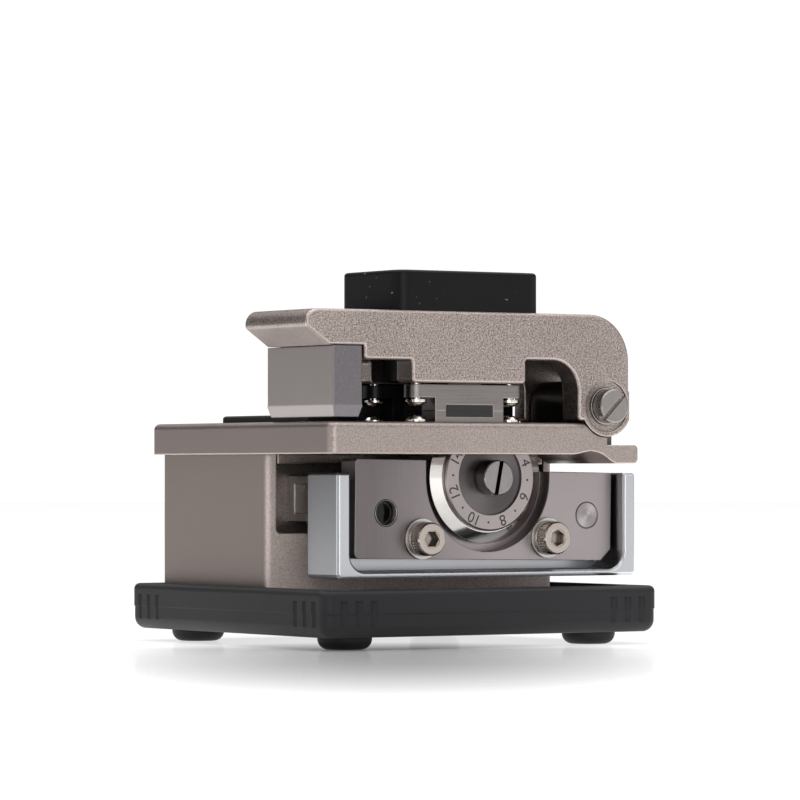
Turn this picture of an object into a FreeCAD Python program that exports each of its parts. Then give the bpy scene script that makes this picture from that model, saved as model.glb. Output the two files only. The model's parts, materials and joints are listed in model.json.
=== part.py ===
import FreeCAD, Part
import os
import re
import Sketcher
from FreeCAD import Placement, Rotation, Vector

# A bench cleaver for single optical fibres.  Millimetres, +Z up.  The origin is on the table
# under the middle of the rubber base.  -Y is the user's side, where the lid's finger lip is,
# +X is the side with the blade slide and its dial, and the lid's hinge pin lies along X at +Y.

SIZES = {
    # rubber base and feet
    "base_width": 64.0,
    "base_depth": 66.4,
    "base_underside": 2.1,
    "base_height": 7.8,
    "base_corner": 2.0,
    "base_edge": 1.0,
    "base_lower_edge": 2.0,
    "base_step": 0.1,
    "base_rim": 3.5,
    "foot_radius": 4.5,
    "foot_inset_x": 8.25,
    "foot_inset_y": 8.85,
    "foot_edge": 1.8,
    "stud_radius": 2.0,
    "stud_length": 3.0,
    "groove_radius": 0.8,
    "groove_depth": 0.35,
    "groove_length": 4.2,
    "groove_pitch": 2.9,
    "groove_first": 3.6,
    # steel plate inside the rubber
    "sole_thickness": 1.6,
    "sole_above": 0.9,
    # cast lower body
    "body_margin": 3.8,
    "body_inset": 4.3,
    "body_right": 6.5,
    "body_corner": 1.0,
    "recess_depth": 5.5,
    "recess_floor": 18.75,
    "recess_wall": 1.9,
    "recess_corner": 0.8,
    # top plate
    "plate_bottom": 32.0,
    "plate_thickness": 5.3,
    "plate_right": 29.2,
    "plate_overhang": 1.4,
    "plate_corner": 1.6,
    "plate_edge": 1.0,
    "rib_height": 1.6,
    "rib_width": 2.5,
    "tail_overhang": 1.8,
    "tail_round": 0.8,
    # lid
    "lid_left": 9.8,
    "lid_right": 29.2,
    "lid_top": 55.5,
    "nose_overhang": 4.8,
    "brow_length": 6.8,
    "nose_height": 52.7,
    "nose_round": 2.3,
    "brow_height": 49.65,
    "window_top": 47.4,
    "window_back": -14.6,
    "skirt_bottom": 43.7,
    "skirt_back": 7.9,
    "arch_top": 47.7,
    "arch_round": 5.2,
    "lid_back_round": 8.0,
    "lid_edge": 0.3,
    "lid_small_round": 0.7,
    "slot_left": 16.2,
    "slot_right": 24.5,
    "slot_top": 50.0,
    "ear_left_inner": 13.1,
    "back_wall": 2.0,
    "back_wall_bottom": 45.3,
    # hinge
    "pin_inset": 4.5,
    "pin_z": 40.1,
    "pin_radius": 2.0,
    "pin_head_radius": 2.85,
    "pin_head_length": 2.3,
    "pin_tail": 1.3,
    "eye_radius": 5.1,
    "eye_gap": 0.25,
    "boss_radius": 4.3,
    "boss_depth": 0.5,
    "bush_radius": 3.1,
    "hinge_round": 4.4,
    "hinge_length": 9.4,
    "hinge_screw_shank": 0.8,
    "hinge_screw_head": 1.5,
    # cap on the lid
    "cap_front": -17.1,
    "cap_back": 11.4,
    "cap_inset": 0.4,
    "cap_height": 6.7,
    "cap_corner": 2.6,
    "cap_edge": 0.6,
    "cap_wall": 1.6,
    # block under the lid's lip
    "block_left": 8.4,
    "block_right": 29.0,
    "block_bottom": 38.0,
    "block_taper_height": 1.9,
    "block_taper": 15.0,
    "magnet_radius": 2.2,
    "magnet_length": 3.0,
    # fibre line and clamps
    "fibre_y": -2.6,
    "fibre_z": 39.12,
    "clamp_right_x": 25.9,
    "clamp_left_x": 13.1,
    "clamp_width": 4.1,
    "clamp_screw_reach": 9.2,
    "bar_bottom": 41.3,
    "bar_height": 2.15,
    "stem_length": 13.5,
    "pad_length": 9.3,
    "pad_height": 1.0,
    "clamp_foot": 1.2,
    "clamp_screw_radius": 0.85,
    "clamp_head_radius": 1.75,
    "clamp_head_height": 1.1,
    "clamp_travel": 0.25,
    "spring_radius": 1.3,
    "spring_length": 3.2,
    # anvil over the blade
    "anvil_x": 18.8,
    "anvil_width": 4.4,
    "anvil_length": 4.6,
    "anvil_bottom": 39.9,
    "anvil_height": 3.3,
    "anvil_travel": 0.8,
    "anvil_stem_radius": 1.5,
    "anvil_stem_length": 3.4,
    "holder_front": -12.0,
    "holder_back": 6.7,
    "holder_bottom": 44.2,
    # fibre guide plate
    "guide_inset": 8.0,
    "guide_left": -19.0,
    "guide_right": 9.2,
    "guide_height": 1.3,
    "guide_sunk": 1.0,
    "guide_groove": 0.8,
    # slide rail
    "rail_bottom": 20.8,
    "rail_width": 7.5,
    "rail_height": 7.6,
    "rail_flange": 1.2,
    "rail_web": 2.0,
    "carriage_gap": 0.1,
    "carriage_end": 6.0,
    "stop_length": 1.7,
    "stop_gap": 0.15,
    # blade slide
    "slide_left": 13.1,
    "slide_right": 22.5,
    "slide_bottom": 11.45,
    "slide_top": 28.9,
    "slide_web": 2.1,
    "slide_wall": 2.5,
    "slide_floor": 1.1,
    "slide_round": 3.0,
    "slide_edge": 0.4,
    # tilting blade carrier
    "pivot_z": 21.7,
    "pivot_radius": 2.25,
    "carrier_left": 15.3,
    "carrier_right": 19.7,
    "carrier_lean": -0.85,
    "carrier_tail": 5.0,
    "carrier_low": 7.7,
    "carrier_high_front": 8.85,
    "carrier_high_back": 7.3,
    "carrier_chamfer": 2.0,
    "carrier_round": 1.0,
    "pocket_radius": 12.5,
    "pocket_floor": 16.8,
    "pocket_shift": 0.3,
    "lock_z": 17.9,
    "lock_radius": 1.5,
    "lock_head_radius": 2.8,
    "lock_head_height": 2.2,
    "lock_play": 0.55,
    "washer_radius": 3.4,
    "washer_thickness": 0.4,
    "spring_washer_radius": 2.9,
    "spring_washer_thickness": 0.6,
    "adjuster_z": 22.25,
    "adjuster_offset": 0.6,
    "adjuster_cam": 2.1,
    "adjuster_hole": 2.3,
    "adjuster_sunk": 1.2,
    # blade wheel and dial
    "wheel_z": 28.1,
    "wheel_radius": 11.1,
    "wheel_bevel": 1.9,
    "wheel_back": 17.3,
    "wheel_thickness": 1.7,
    "wheel_rim": 0.1,
    "dial_radius": 9.0,
    "dial_thickness": 0.85,
    "dial_inner": 6.35,
    "dial_recess": 0.35,
    "axle_radius": 2.5,
    "dial_screw_radius": 2.95,
    "dial_screw_height": 3.0,
    "blade_slot_gap": 0.8,
    "blade_slot_width": 4.2,
    "slide_travel": 19.0,
    # screws and fits
    "csk_shank": 1.5,
    "csk_head": 2.9,
    "small_shank": 1.0,
    "small_head": 1.9,
    "fit_gap": 0.05,
    "slot_cut": 0.8,
}

# Sizes that follow others, so that every part keeps its place along the tool when one is changed.
DERIVED = {
    "body_left": "body_margin - base_width / 2",
    "body_front": "body_inset - base_depth / 2",
    "body_back": "base_depth / 2 - body_inset",
    "plate_left": "body_left - 1.6",
    "plate_front": "body_front - plate_overhang",
    "plate_back": "body_back",
    "tail_back": "body_back + tail_overhang",
    "tail_top": "plate_bottom + 1.6",
    "tail_bottom": "plate_bottom - 1.5",
    "pin_y": "body_back - pin_inset",
    "hinge_back": "pin_y + 4.6",
    "hinge_front": "hinge_back - hinge_length",
    "lid_back": "pin_y + 4.55",
    "lid_front": "plate_front - nose_overhang",
    "nose_back": "plate_front - 0.4",
    "brow_back": "nose_back + brow_length",
    "arch_back": "pin_y - 5.8",
    "block_front": "plate_front + 0.4",
    "guide_front": "plate_front + guide_inset",
    "rail_front": "body_front + 7.6",
    "rail_back": "body_back - 2.9",
    "carriage_front": "rail_front + slide_travel + 2.3",
    "carriage_length": "rail_back - carriage_front - carriage_end",
    "slide_front": "body_front + 4.0",
    "slide_back": "body_back + 6.2",
    "pivot_y": "slide_back - 8.2",
    "carrier_reach": "pivot_y - slide_front - 5.1",
    "lock_front_y": "slide_front + 18.2",
    "lock_back_y": "slide_back - 16.4",
    "adjuster_y": "slide_front + 11.8",
    "wheel_y": "hinge_front - 12.6",
}

doc = FreeCAD.newDocument("fibre_cleaver")
sheet = doc.addObject("Spreadsheet::Sheet", "Sizes")
for row, (alias, number) in enumerate(SIZES.items(), start=1):
    sheet.set(f"A{row}", alias)
    sheet.set(f"B{row}", str(number))
    sheet.setAlias(f"B{row}", alias)
doc.recompute()

# Places worked out from the driving sizes.
BASE_TOP = "(base_underside + base_height)"
PARTING = "(base_underside + base_height / 2)"
SOLE_TOP = f"({BASE_TOP} - sole_above)"
SOLE_BOTTOM = f"({SOLE_TOP} - sole_thickness)"
RECESS_BACK = "(body_right - recess_depth)"
PLATE_TOP = "(plate_bottom + plate_thickness)"
BLOCK_BACK = "(brow_back - 0.3)"
BLOCK_TOP = "(brow_height - 0.1)"
BLOCK_Y = f"((block_front + {BLOCK_BACK}) / 2)"
BLOCK_X = "((block_left + block_right) / 2)"
BAR_TOP = "(bar_bottom + bar_height)"
CLAMP_FRONT_Y = "(fibre_y - clamp_screw_reach)"
CLAMP_BACK_Y = "(fibre_y + clamp_screw_reach)"
WHEEL_FRONT = "(wheel_back + wheel_thickness)"
DIAL_FACE = f"({WHEEL_FRONT} + dial_thickness)"
BLADE_X = "(wheel_back + wheel_thickness / 2 + 0.45)"
RAIL_TOP = "(rail_bottom + rail_width)"
RAIL_Z = "(rail_bottom + rail_width / 2)"
RAIL_FRONT_FACE = f"({RECESS_BACK} + rail_height)"
WEB_RIGHT = "(slide_left + slide_web)"
CAM_Y = "(adjuster_y - adjuster_offset)"
POCKET_Y = "(wheel_y - pocket_shift)"
ANVIL_TOP = "(anvil_bottom + anvil_height)"

TURN = {
    "z": Rotation(),
    "x": Rotation(Vector(0, 1, 0), 90),
    "y": Rotation(Vector(1, 0, 0), -90),
    "-z": Rotation(Vector(1, 0, 0), 180),
    "-x": Rotation(Vector(0, 1, 0), -90),
}
NODES = []
WORD = re.compile(r"[a-z][a-z_0-9]*")
NEAR = 0.01


def cell(word):
    """The sheet's name for one word of an expression."""
    name = word.group()
    if name in DERIVED:
        return f"({formula(DERIVED[name])})"
    return "Sizes." + name if name in SIZES else name


def formula(text):
    """The same expression with each size name pointing at its cell."""
    return WORD.sub(cell, str(text))


def size(text):
    """The number that an expression of sizes gives now."""
    value = sheet.evalExpression(formula(text))
    return float(getattr(value, "Value", value))


def place(item, spot, turn=Rotation()):
    """Turn an item and tie its position to the sheet."""
    item.Placement = Placement(Vector(), turn)
    for axis, text in zip("xyz", spot):
        item.setExpression("Placement.Base." + axis, formula(text))
    return item


def node(item, label):
    """Name a finished sub-part."""
    item.Label = label
    NODES.append(item)
    return item


# ---- Part primitives and booleans ----

def box(name, xs, ys, zs):
    item = doc.addObject("Part::Box", name)
    for side, (low, high) in zip(("Length", "Width", "Height"), (xs, ys, zs)):
        item.setExpression(side, formula(f"({high}) - ({low})"))
    return place(item, (xs[0], ys[0], zs[0]))


def rod(name, start, radius, length, along="z"):
    item = doc.addObject("Part::Cylinder", name)
    item.setExpression("Radius", formula(radius))
    item.setExpression("Height", formula(length))
    return place(item, start, TURN[along])


def cone(name, start, first, second, length, along="z"):
    item = doc.addObject("Part::Cone", name)
    item.setExpression("Radius1", formula(first))
    item.setExpression("Radius2", formula(second))
    item.setExpression("Height", formula(length))
    return place(item, start, TURN[along])


def hexagon(name, start, across, length, along="z"):
    item = doc.addObject("Part::Prism", name)
    item.Polygon = 6
    item.setExpression("Circumradius", formula(across))
    item.setExpression("Height", formula(length))
    return place(item, start, TURN[along])


def join(name, items):
    item = doc.addObject("Part::MultiFuse", name)
    item.Shapes = items
    return item


def cut(name, base, tools):
    item = doc.addObject("Part::Cut", name)
    item.Base = base
    item.Tool = tools[0] if len(tools) == 1 else join(name + "_tools", tools)
    return item


def group(name, items):
    item = doc.addObject("Part::Compound", name)
    item.Links = items
    return item


# ---- PartDesign bodies ----

class Maker:
    """One PartDesign body, built feature by feature."""

    def __init__(self, name, label=None):
        self.name = name
        self.body = doc.addObject("PartDesign::Body", name)
        if label:
            node(self.body, label)

    def sketch(self, role="XY_Plane", offset="0"):
        drawing = self.body.newObject("Sketcher::SketchObject", self.name + "_sketch")
        plane = next(item for item in self.body.Origin.OriginFeatures if item.Role == role)
        drawing.AttachmentSupport = [(plane, "")]
        drawing.MapMode = "FlatFace"
        drawing.setExpression("AttachmentOffset.Base.z", formula(offset))
        return drawing

    def polygon(self, points, role="XY_Plane", offset="0"):
        """A closed outline of straight lines, each corner tied to the sheet."""
        drawing = self.sketch(role, offset)
        spots = [Vector(size(u), size(v), 0) for u, v in points]
        count = len(spots)
        for index, spot in enumerate(spots):
            drawing.addGeometry(Part.LineSegment(spot, spots[(index + 1) % count]), False)
        for index, (u, v) in enumerate(points):
            follower = (index + 1) % count
            drawing.addConstraint(Sketcher.Constraint("Coincident", index, 2, follower, 1))
            for kind, text, number in (("DistanceX", u, spots[index].x), ("DistanceY", v, spots[index].y)):
                number_of = drawing.addConstraint(Sketcher.Constraint(kind, index, 1, number))
                drawing.setExpression(f"Constraints[{number_of}]", formula(text))
        return drawing

    def rectangle(self, us, vs, role="XY_Plane", offset="0"):
        corners = [(us[0], vs[0]), (us[1], vs[0]), (us[1], vs[1]), (us[0], vs[1])]
        return self.polygon(corners, role, offset)

    def circles(self, centres, radius, role="XY_Plane", offset="0"):
        """Round outlines of one radius."""
        drawing = self.sketch(role, offset)
        for index, (u, v) in enumerate(centres):
            middle = Vector(size(u), size(v), 0)
            drawing.addGeometry(Part.Circle(middle, Vector(0, 0, 1), size(radius)), False)
            ties = (("DistanceX", (index, 3), u, middle.x), ("DistanceY", (index, 3), v, middle.y),
                    ("Radius", (index,), radius, size(radius)))
            for kind, where, text, number in ties:
                number_of = drawing.addConstraint(Sketcher.Constraint(kind, *where, number))
                drawing.setExpression(f"Constraints[{number_of}]", formula(text))
        return drawing

    def feature(self, kind, drawing, length, back=False, taper=None):
        item = self.body.newObject("PartDesign::" + kind, self.name + "_" + kind.lower())
        item.Profile = drawing
        item.setExpression("Length", formula(length))
        item.Reversed = back
        if taper:
            item.setExpression("TaperAngle", formula(taper))
        drawing.Visibility = False
        return item

    def pad(self, drawing, length, back=False, taper=None):
        return self.feature("Pad", drawing, length, back, taper)

    def pocket(self, drawing, length, back=False):
        """Cut towards +normal of the sketch, or towards -normal with back."""
        return self.feature("Pocket", drawing, length, not back)

    def spin(self, points):
        """Revolve an outline of (radius, height) points about the body's own Z axis."""
        drawing = self.polygon(points, "XZ_Plane")
        item = self.body.newObject("PartDesign::Revolution", self.name + "_turned")
        item.Profile = drawing
        item.ReferenceAxis = (drawing, ["V_Axis"])
        item.Angle = 360
        drawing.Visibility = False
        return self

    def dress(self, kind, amount, picks):
        """Fillet or chamfer the edges that lie at each pick, such as {"x": 3, "z": 0}."""
        doc.recompute()
        base = self.body.Tip
        names = []
        for number, edge in enumerate(base.Shape.Edges, start=1):
            bounds = edge.BoundBox
            if any(lies_at(bounds, pick) for pick in picks):
                names.append(f"Edge{number}")
        item = self.body.newObject("PartDesign::" + kind, self.name + "_" + kind.lower())
        item.Base = (base, names)
        item.setExpression("Size" if kind == "Chamfer" else "Radius", formula(amount))
        return item

    def fillet(self, radius, *picks):
        return self.dress("Fillet", radius, picks)

    def chamfer(self, amount, *picks):
        return self.dress("Chamfer", amount, picks)


def lies_at(bounds, pick):
    """Whether an edge's box is flat at each coordinate that the pick names."""
    for axis, text in pick.items():
        value = size(text)
        low = getattr(bounds, axis.upper() + "Min")
        high = getattr(bounds, axis.upper() + "Max")
        if abs(low - value) > NEAR or abs(high - value) > NEAR:
            return False
    return True


def turned(name, points, start, along="z", label=None, slot=None, lean=0):
    """A lathe part; a slot is (width, depth from the top, height of the top)."""
    maker = Maker(name, label).spin(points)
    if slot:
        width, depth, top = slot
        outline = maker.rectangle(("-9", "9"), (f"-{width} / 2", f"{width} / 2"), "XY_Plane", top)
        maker.pocket(outline, depth, back=True)
    place(maker.body, start, TURN[along] * Rotation(Vector(0, 0, 1), lean))
    return maker.body


# ---- screws ----

def countersunk_screw(name, start, length, along, shank="csk_shank", head="csk_head"):
    """A flat-headed screw whose face is at start and whose shank runs along."""
    depth = f"({head} - {shank})"
    points = [("0", "0"), (head, "0"), (shank, depth), (shank, length), ("0", length)]
    maker = Maker(name).spin(points)
    socket = maker.rectangle((f"-{head} * 0.8", f"{head} * 0.8"), ("-slot_cut / 2", "slot_cut / 2"))
    maker.pocket(socket, "slot_cut")
    place(maker.body, start, TURN[along])
    return maker.body


def cap_screw(name, start, length, along, shank, head, height, socket):
    """A round-headed socket screw whose head stands at start, with the shank running back."""
    points = [("0", f"-({length})"), (shank, f"-({length})"), (shank, "0"), (head, "0"),
              (head, f"{height} - 0.25"), (f"{head} - 0.25", height), ("0", height)]
    maker = Maker(name).spin(points)
    place(maker.body, start, TURN[along])
    recess = hexagon(name + "_socket", start, socket, f"({height}) + 1", along)
    axis = along[-1]
    sign = "-" if along.startswith("-") else "+"
    spot = list(start)
    spot["xyz".index(axis)] = f"({spot['xyz'.index(axis)]}) {sign} ({height}) * 0.4"
    place(recess, spot, TURN[along])
    return cut(name + "_screw", maker.body, [recess])


def button_screw(name, start, length, along, shank, head, height):
    """A domed screw whose head stands at start, with the shank running back."""
    points = [("0", f"-({length})"), (shank, f"-({length})"), (shank, "0"), (head, "0"),
              (head, f"{height} * 0.35"), (f"{head} * 0.8", f"{height} * 0.75"),
              (f"{head} * 0.45", height), ("0", height)]
    maker = Maker(name).spin(points)
    slot = maker.rectangle((f"-{head} * 0.5", f"{head} * 0.5"), ("-0.2", "0.2"), "XY_Plane", height)
    maker.pocket(slot, f"{height} * 0.5", back=True)
    place(maker.body, start, TURN[along])
    return maker.body


# ---- base ----

SCREW_X = ("body_left + 9", "body_right - 8.5")
SCREW_Y = (f"body_front + 12", f"body_back - 12")


FOOT_SPOTS = [(f"{x_sign}(base_width / 2 - foot_inset_x)", f"{y_sign}(base_depth / 2 - foot_inset_y)")
              for x_sign in "-+" for y_sign in "-+"]


def rubber_base():
    half = "base_width / 2"
    deep = "base_depth / 2"
    walls = [{"x": x, "y": y} for x in (f"-{half}", half) for y in (f"-{deep}", deep)]
    upper = Maker("upper_rubber")
    upper.pad(upper.rectangle((f"-{half}", half), (f"-{deep}", deep), offset=PARTING), "base_height / 2")
    upper.fillet("base_corner", *walls)
    upper.fillet("base_edge", {"z": BASE_TOP})
    lower = Maker("lower_rubber")
    xs = (f"base_step - {half}", f"{half} - base_step")
    ys = (f"base_step - {deep}", f"{deep} - base_step")
    lower.pad(lower.rectangle(xs, ys, offset=PARTING), "base_height / 2", back=True)
    lower.fillet("base_corner", *[{"x": x, "y": y} for x in xs for y in ys])
    lower.fillet("base_lower_edge", {"z": "base_underside"})
    tray = box("rubber_tray", ("-base_width / 2 + base_rim", "base_width / 2 - base_rim"),
               ("-base_depth / 2 + base_rim", "base_depth / 2 - base_rim"), (SOLE_BOTTOM, f"{BASE_TOP} + 1"))
    tools = [tray]
    for index, (x, y) in enumerate(FOOT_SPOTS):
        tools.append(rod(f"stud_hole_{index}", (x, y, "base_underside - 1"), "stud_radius + fit_gap",
                         "stud_length + 1.2"))
    for index, (x, y) in enumerate((x, y) for x in SCREW_X for y in SCREW_Y):
        tools.append(rod(f"screw_well_{index}", (x, y, "base_underside - 1"), "csk_head + 0.5",
                         "base_height"))
    out = "groove_radius - groove_depth"
    for index in range(3):
        along = f"groove_first + {index} * groove_pitch"
        for number, (x_sign, y_sign) in enumerate((("-", "-"), ("-", "+"), ("+", "-"), ("+", "+"))):
            low = f"{PARTING} - groove_length / 2"
            side = (f"{x_sign}(base_width / 2 + {out})", f"{y_sign}(base_depth / 2 - ({along}))", low)
            face = (f"{x_sign}(base_width / 2 - ({along}))", f"{y_sign}(base_depth / 2 + {out})", low)
            tools.append(rod(f"side_groove_{index}_{number}", side, "groove_radius", "groove_length"))
            tools.append(rod(f"face_groove_{index}_{number}", face, "groove_radius", "groove_length"))
    node(cut("rubber_base", join("rubber_block", [upper.body, lower.body]), tools), "rubber_base")


def rubber_feet():
    feet = []
    for index, (x, y) in enumerate(FOOT_SPOTS):
        points = [("0", "0"), ("foot_radius", "0"), ("foot_radius", "base_underside"),
                  ("stud_radius", "base_underside"),
                  ("stud_radius", "base_underside + stud_length"), ("0", "base_underside + stud_length")]
        foot = Maker(f"foot_{index}").spin(points)
        foot.fillet("foot_edge", {"z": "0"})
        feet.append(place(foot.body, (x, y, "0")))
    node(group("rubber_feet", feet), "rubber_feet")


def base_plate():
    gap = "base_rim + fit_gap"
    maker = Maker("sole")
    xs = (f"-base_width / 2 + {gap}", f"base_width / 2 - ({gap})")
    ys = (f"-base_depth / 2 + {gap}", f"base_depth / 2 - ({gap})")
    maker.pad(maker.rectangle(xs, ys, offset=SOLE_BOTTOM), "sole_thickness")
    tools = []
    for index, (x, y) in enumerate((x, y) for x in SCREW_X for y in SCREW_Y):
        tools.append(cone(f"sole_sink_{index}", (x, y, SOLE_BOTTOM), "csk_head + fit_gap",
                          "csk_shank + fit_gap",
                          "csk_head - csk_shank"))
        tools.append(rod(f"sole_hole_{index}", (x, y, SOLE_BOTTOM), "csk_shank + fit_gap",
                         "sole_thickness + 1"))
    node(cut("base_plate", maker.body, tools), "base_plate")


def base_screws():
    screws = []
    for index, (x, y) in enumerate((x, y) for x in SCREW_X for y in SCREW_Y):
        screws.append(countersunk_screw(f"base_screw_{index}", (x, y, SOLE_BOTTOM), "8", "z"))
    node(group("base_screws", screws), "base_screws")


PLATE_SCREW_SPOTS = [(x, y) for x in ("body_left + 3.6", "body_right - 8.5")
                     for y in (f"body_front + 3.4", f"body_back - 3.4")]


def lower_body():
    maker = Maker("lower_body", "lower_body")
    xs = ("body_left", "body_right")
    ys = ("body_front", "body_back")
    maker.pad(maker.rectangle(xs, ys, offset=SOLE_TOP), f"plate_bottom - {SOLE_TOP}")
    maker.fillet("body_corner", *[{"x": x, "y": y} for x in xs for y in ys])
    recess = maker.rectangle((f"body_front + recess_wall", f"body_back - recess_wall"),
                             ("recess_floor", "plate_bottom + 1"), "YZ_Plane", RECESS_BACK)
    maker.pocket(recess, "recess_depth + 1")
    maker.fillet("recess_corner", {"y": "body_front + recess_wall", "z": "recess_floor"},
                 {"y": "body_back - recess_wall", "z": "recess_floor"})
    bottom = maker.circles([(x, y) for x in SCREW_X for y in SCREW_Y], "csk_shank + fit_gap",
                           offset=SOLE_TOP)
    maker.pocket(bottom, "8")
    top = maker.circles(PLATE_SCREW_SPOTS, "csk_shank + fit_gap", offset="plate_bottom")
    maker.pocket(top, "5", back=True)
    slots = maker.circles([(y, RAIL_Z) for y in RAIL_SCREW_Y], "small_shank + fit_gap", "YZ_Plane",
                          RECESS_BACK)
    maker.pocket(slots, "5", back=True)


RAIL_SCREW_Y = ("rail_front + 5", "(rail_front + rail_back) / 2", "rail_back - 5")


# ---- top plate and what is fixed to it ----

GUIDE_BACK = "(2 * fibre_y - guide_front)"
SLOT_FRONT = "(wheel_y - slide_travel - wheel_radius - blade_slot_gap)"
SLOT_BACK = "(wheel_y + wheel_radius + blade_slot_gap)"
GUIDE_SCREWS = [(x, y) for x in ("guide_left + 3.5", "guide_right - 3.5")
                for y in ("guide_front + 3.5", f"{GUIDE_BACK} - 3.5")]
HINGE_SCREW_X = ("ear_left_inner + 3.2", "slot_right - 3.2")
HINGE_SCREW_Y = "(hinge_back - 1.35)"
# The underside of the deck at its tail: distances along Y from the pin and up from the deck's underside.
TAIL_SWELL = ((-6.8, 0), (-5.8, 0.12), (-4.6, 0.4), (-3.4, 0.57), (-2.2, 0.45), (-1.1, 0.1), (-0.1, -0.45),
              (0.8, -1.05), (1.7, -1.5))


def top_plate():
    maker = Maker("plate_casting")
    left = maker.rectangle(("plate_left", "lid_left"), ("plate_front", "plate_back"), offset="plate_bottom")
    maker.pad(left, "plate_thickness")
    right = maker.rectangle(("plate_right", "lid_left - 0.6"), ("plate_front", "pin_y"),
                            offset="plate_bottom")
    maker.pad(right, "plate_thickness")
    swell = [(f"pin_y + {y}", f"plate_bottom + {z}") for y, z in TAIL_SWELL]
    tail = [*swell, ("tail_back", "tail_bottom"), ("tail_back", "tail_top"), (swell[0][0], "tail_top")]
    maker.pad(maker.polygon(tail, "YZ_Plane", "lid_left - 0.6"), f"plate_right - lid_left + 0.6")
    maker.fillet("plate_corner", {"x": "plate_left", "y": "plate_front"},
                 {"x": "plate_right", "y": "plate_front"},
                 {"x": "plate_left", "y": "plate_back"})
    maker.fillet("tail_round", {"y": "tail_back", "z": "tail_top"}, {"y": "tail_back", "z": "tail_bottom"})
    maker.fillet("plate_edge", {"z": PLATE_TOP, "y": "plate_front"})
    rib = maker.rectangle((f"body_front + recess_wall + 0.3", f"body_back - recess_wall - 0.3"),
                          ("plate_bottom - rib_height", "plate_bottom"), "YZ_Plane",
                          "body_right - rib_width")
    maker.pad(rib, "rib_width")
    below = "plate_bottom - 3"
    hump = maker.polygon([(swell[0][0], below), *swell, (swell[-1][0], below)], "YZ_Plane", "lid_left - 0.6")
    maker.pocket(hump, "plate_right - lid_left + 1.6")
    seat = ("slot_right", "lid_right + 1")
    far = ("lid_left - 1.2", "ear_left_inner")
    tools = [
        box("hinge_seat", ("ear_left_inner", "slot_right"), ("hinge_front - fit_gap", "tail_back + 1"),
            ("tail_top", f"{PLATE_TOP} + 1")),
        box("blade_slot", (f"{BLADE_X} - blade_slot_width / 2", f"{BLADE_X} + blade_slot_width / 2"),
            (SLOT_FRONT, SLOT_BACK), ("plate_bottom - 1", f"{PLATE_TOP} + 1")),
        box("guide_seat", ("guide_left", "guide_right"), ("guide_front", GUIDE_BACK),
            (f"{PLATE_TOP} - guide_sunk", f"{PLATE_TOP} + 1")),
        rod("keeper_seat", (BLOCK_X, BLOCK_Y, f"{PLATE_TOP} - 1.5"), "magnet_radius + 0.3", "3"),
    ]
    for index, (low, high) in enumerate((seat, far)):
        tools.append(rod(f"eye_groove_{index}", (low, "pin_y", "pin_z"), "eye_radius + eye_gap",
                         f"({high}) - ({low})", "x"))
        tools.append(box(f"eye_clearance_{index}", (low, high), ("pin_y", "tail_back + 1"),
                         ("tail_top", f"{PLATE_TOP} + 1")))
    for index, x in enumerate(("clamp_left_x", "clamp_right_x")):
        tools.append(clamp_bar(f"clamp_seat_{index}", x, f"{PLATE_TOP} - clamp_foot", "clamp_foot + 1",
                               "fit_gap"))
        for number, y in enumerate((CLAMP_FRONT_Y, CLAMP_BACK_Y)):
            tools.append(rod(f"clamp_hole_{index}_{number}", (x, y, f"{PLATE_TOP} - 4.2"),
                             "clamp_screw_radius + fit_gap", "4"))
    for index, (x, y) in enumerate(PLATE_SCREW_SPOTS):
        tools.append(rod(f"plate_hole_{index}", (x, y, "plate_bottom - 1"), "csk_shank + fit_gap", "8"))
        tools.append(cone(f"plate_sink_{index}", (x, y, PLATE_TOP), "csk_head + fit_gap",
                          "csk_shank + fit_gap",
                          "csk_head - csk_shank", "-z"))
    for index, (x, y) in enumerate(GUIDE_SCREWS):
        tools.append(rod(f"guide_hole_{index}", (x, y, f"{PLATE_TOP} - 4"), "small_shank + fit_gap", "4"))
    for index, x in enumerate(HINGE_SCREW_X):
        tools.append(rod(f"hinge_hole_{index}", (x, HINGE_SCREW_Y, "tail_bottom - 1"),
                         "hinge_screw_shank + fit_gap", "6"))
        tools.append(cone(f"hinge_sink_{index}", (x, HINGE_SCREW_Y, "tail_bottom"),
                          "hinge_screw_head + fit_gap",
                          "hinge_screw_shank + fit_gap", "hinge_screw_head - hinge_screw_shank"))
    node(cut("top_plate", maker.body, tools), "top_plate")


def clamp_bar(name, x, bottom, height, gap="0"):
    """A flat bar with full-round ends, lying along Y under or over the fibre."""
    ends = [rod(f"{name}_end_{index}", (x, y, bottom), f"clamp_width / 2 + {gap}", height)
            for index, y in enumerate((CLAMP_FRONT_Y, CLAMP_BACK_Y))]
    middle = box(name + "_middle", (f"{x} - clamp_width / 2 - {gap}", f"{x} + clamp_width / 2 + {gap}"),
                 (CLAMP_FRONT_Y, CLAMP_BACK_Y), (bottom, f"({bottom}) + ({height})"))
    return join(name, [*ends, middle])


def plate_screws():
    screws = [countersunk_screw(f"plate_screw_{index}", (x, y, PLATE_TOP), "plate_thickness + 4.5", "-z")
              for index, (x, y) in enumerate(PLATE_SCREW_SPOTS)]
    node(group("plate_screws", screws), "plate_screws")


def keeper_disc():
    node(rod("keeper_disc", (BLOCK_X, BLOCK_Y, f"{PLATE_TOP} - 1.5"), "magnet_radius + 0.25", "1.5"),
         "keeper_disc")


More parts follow.
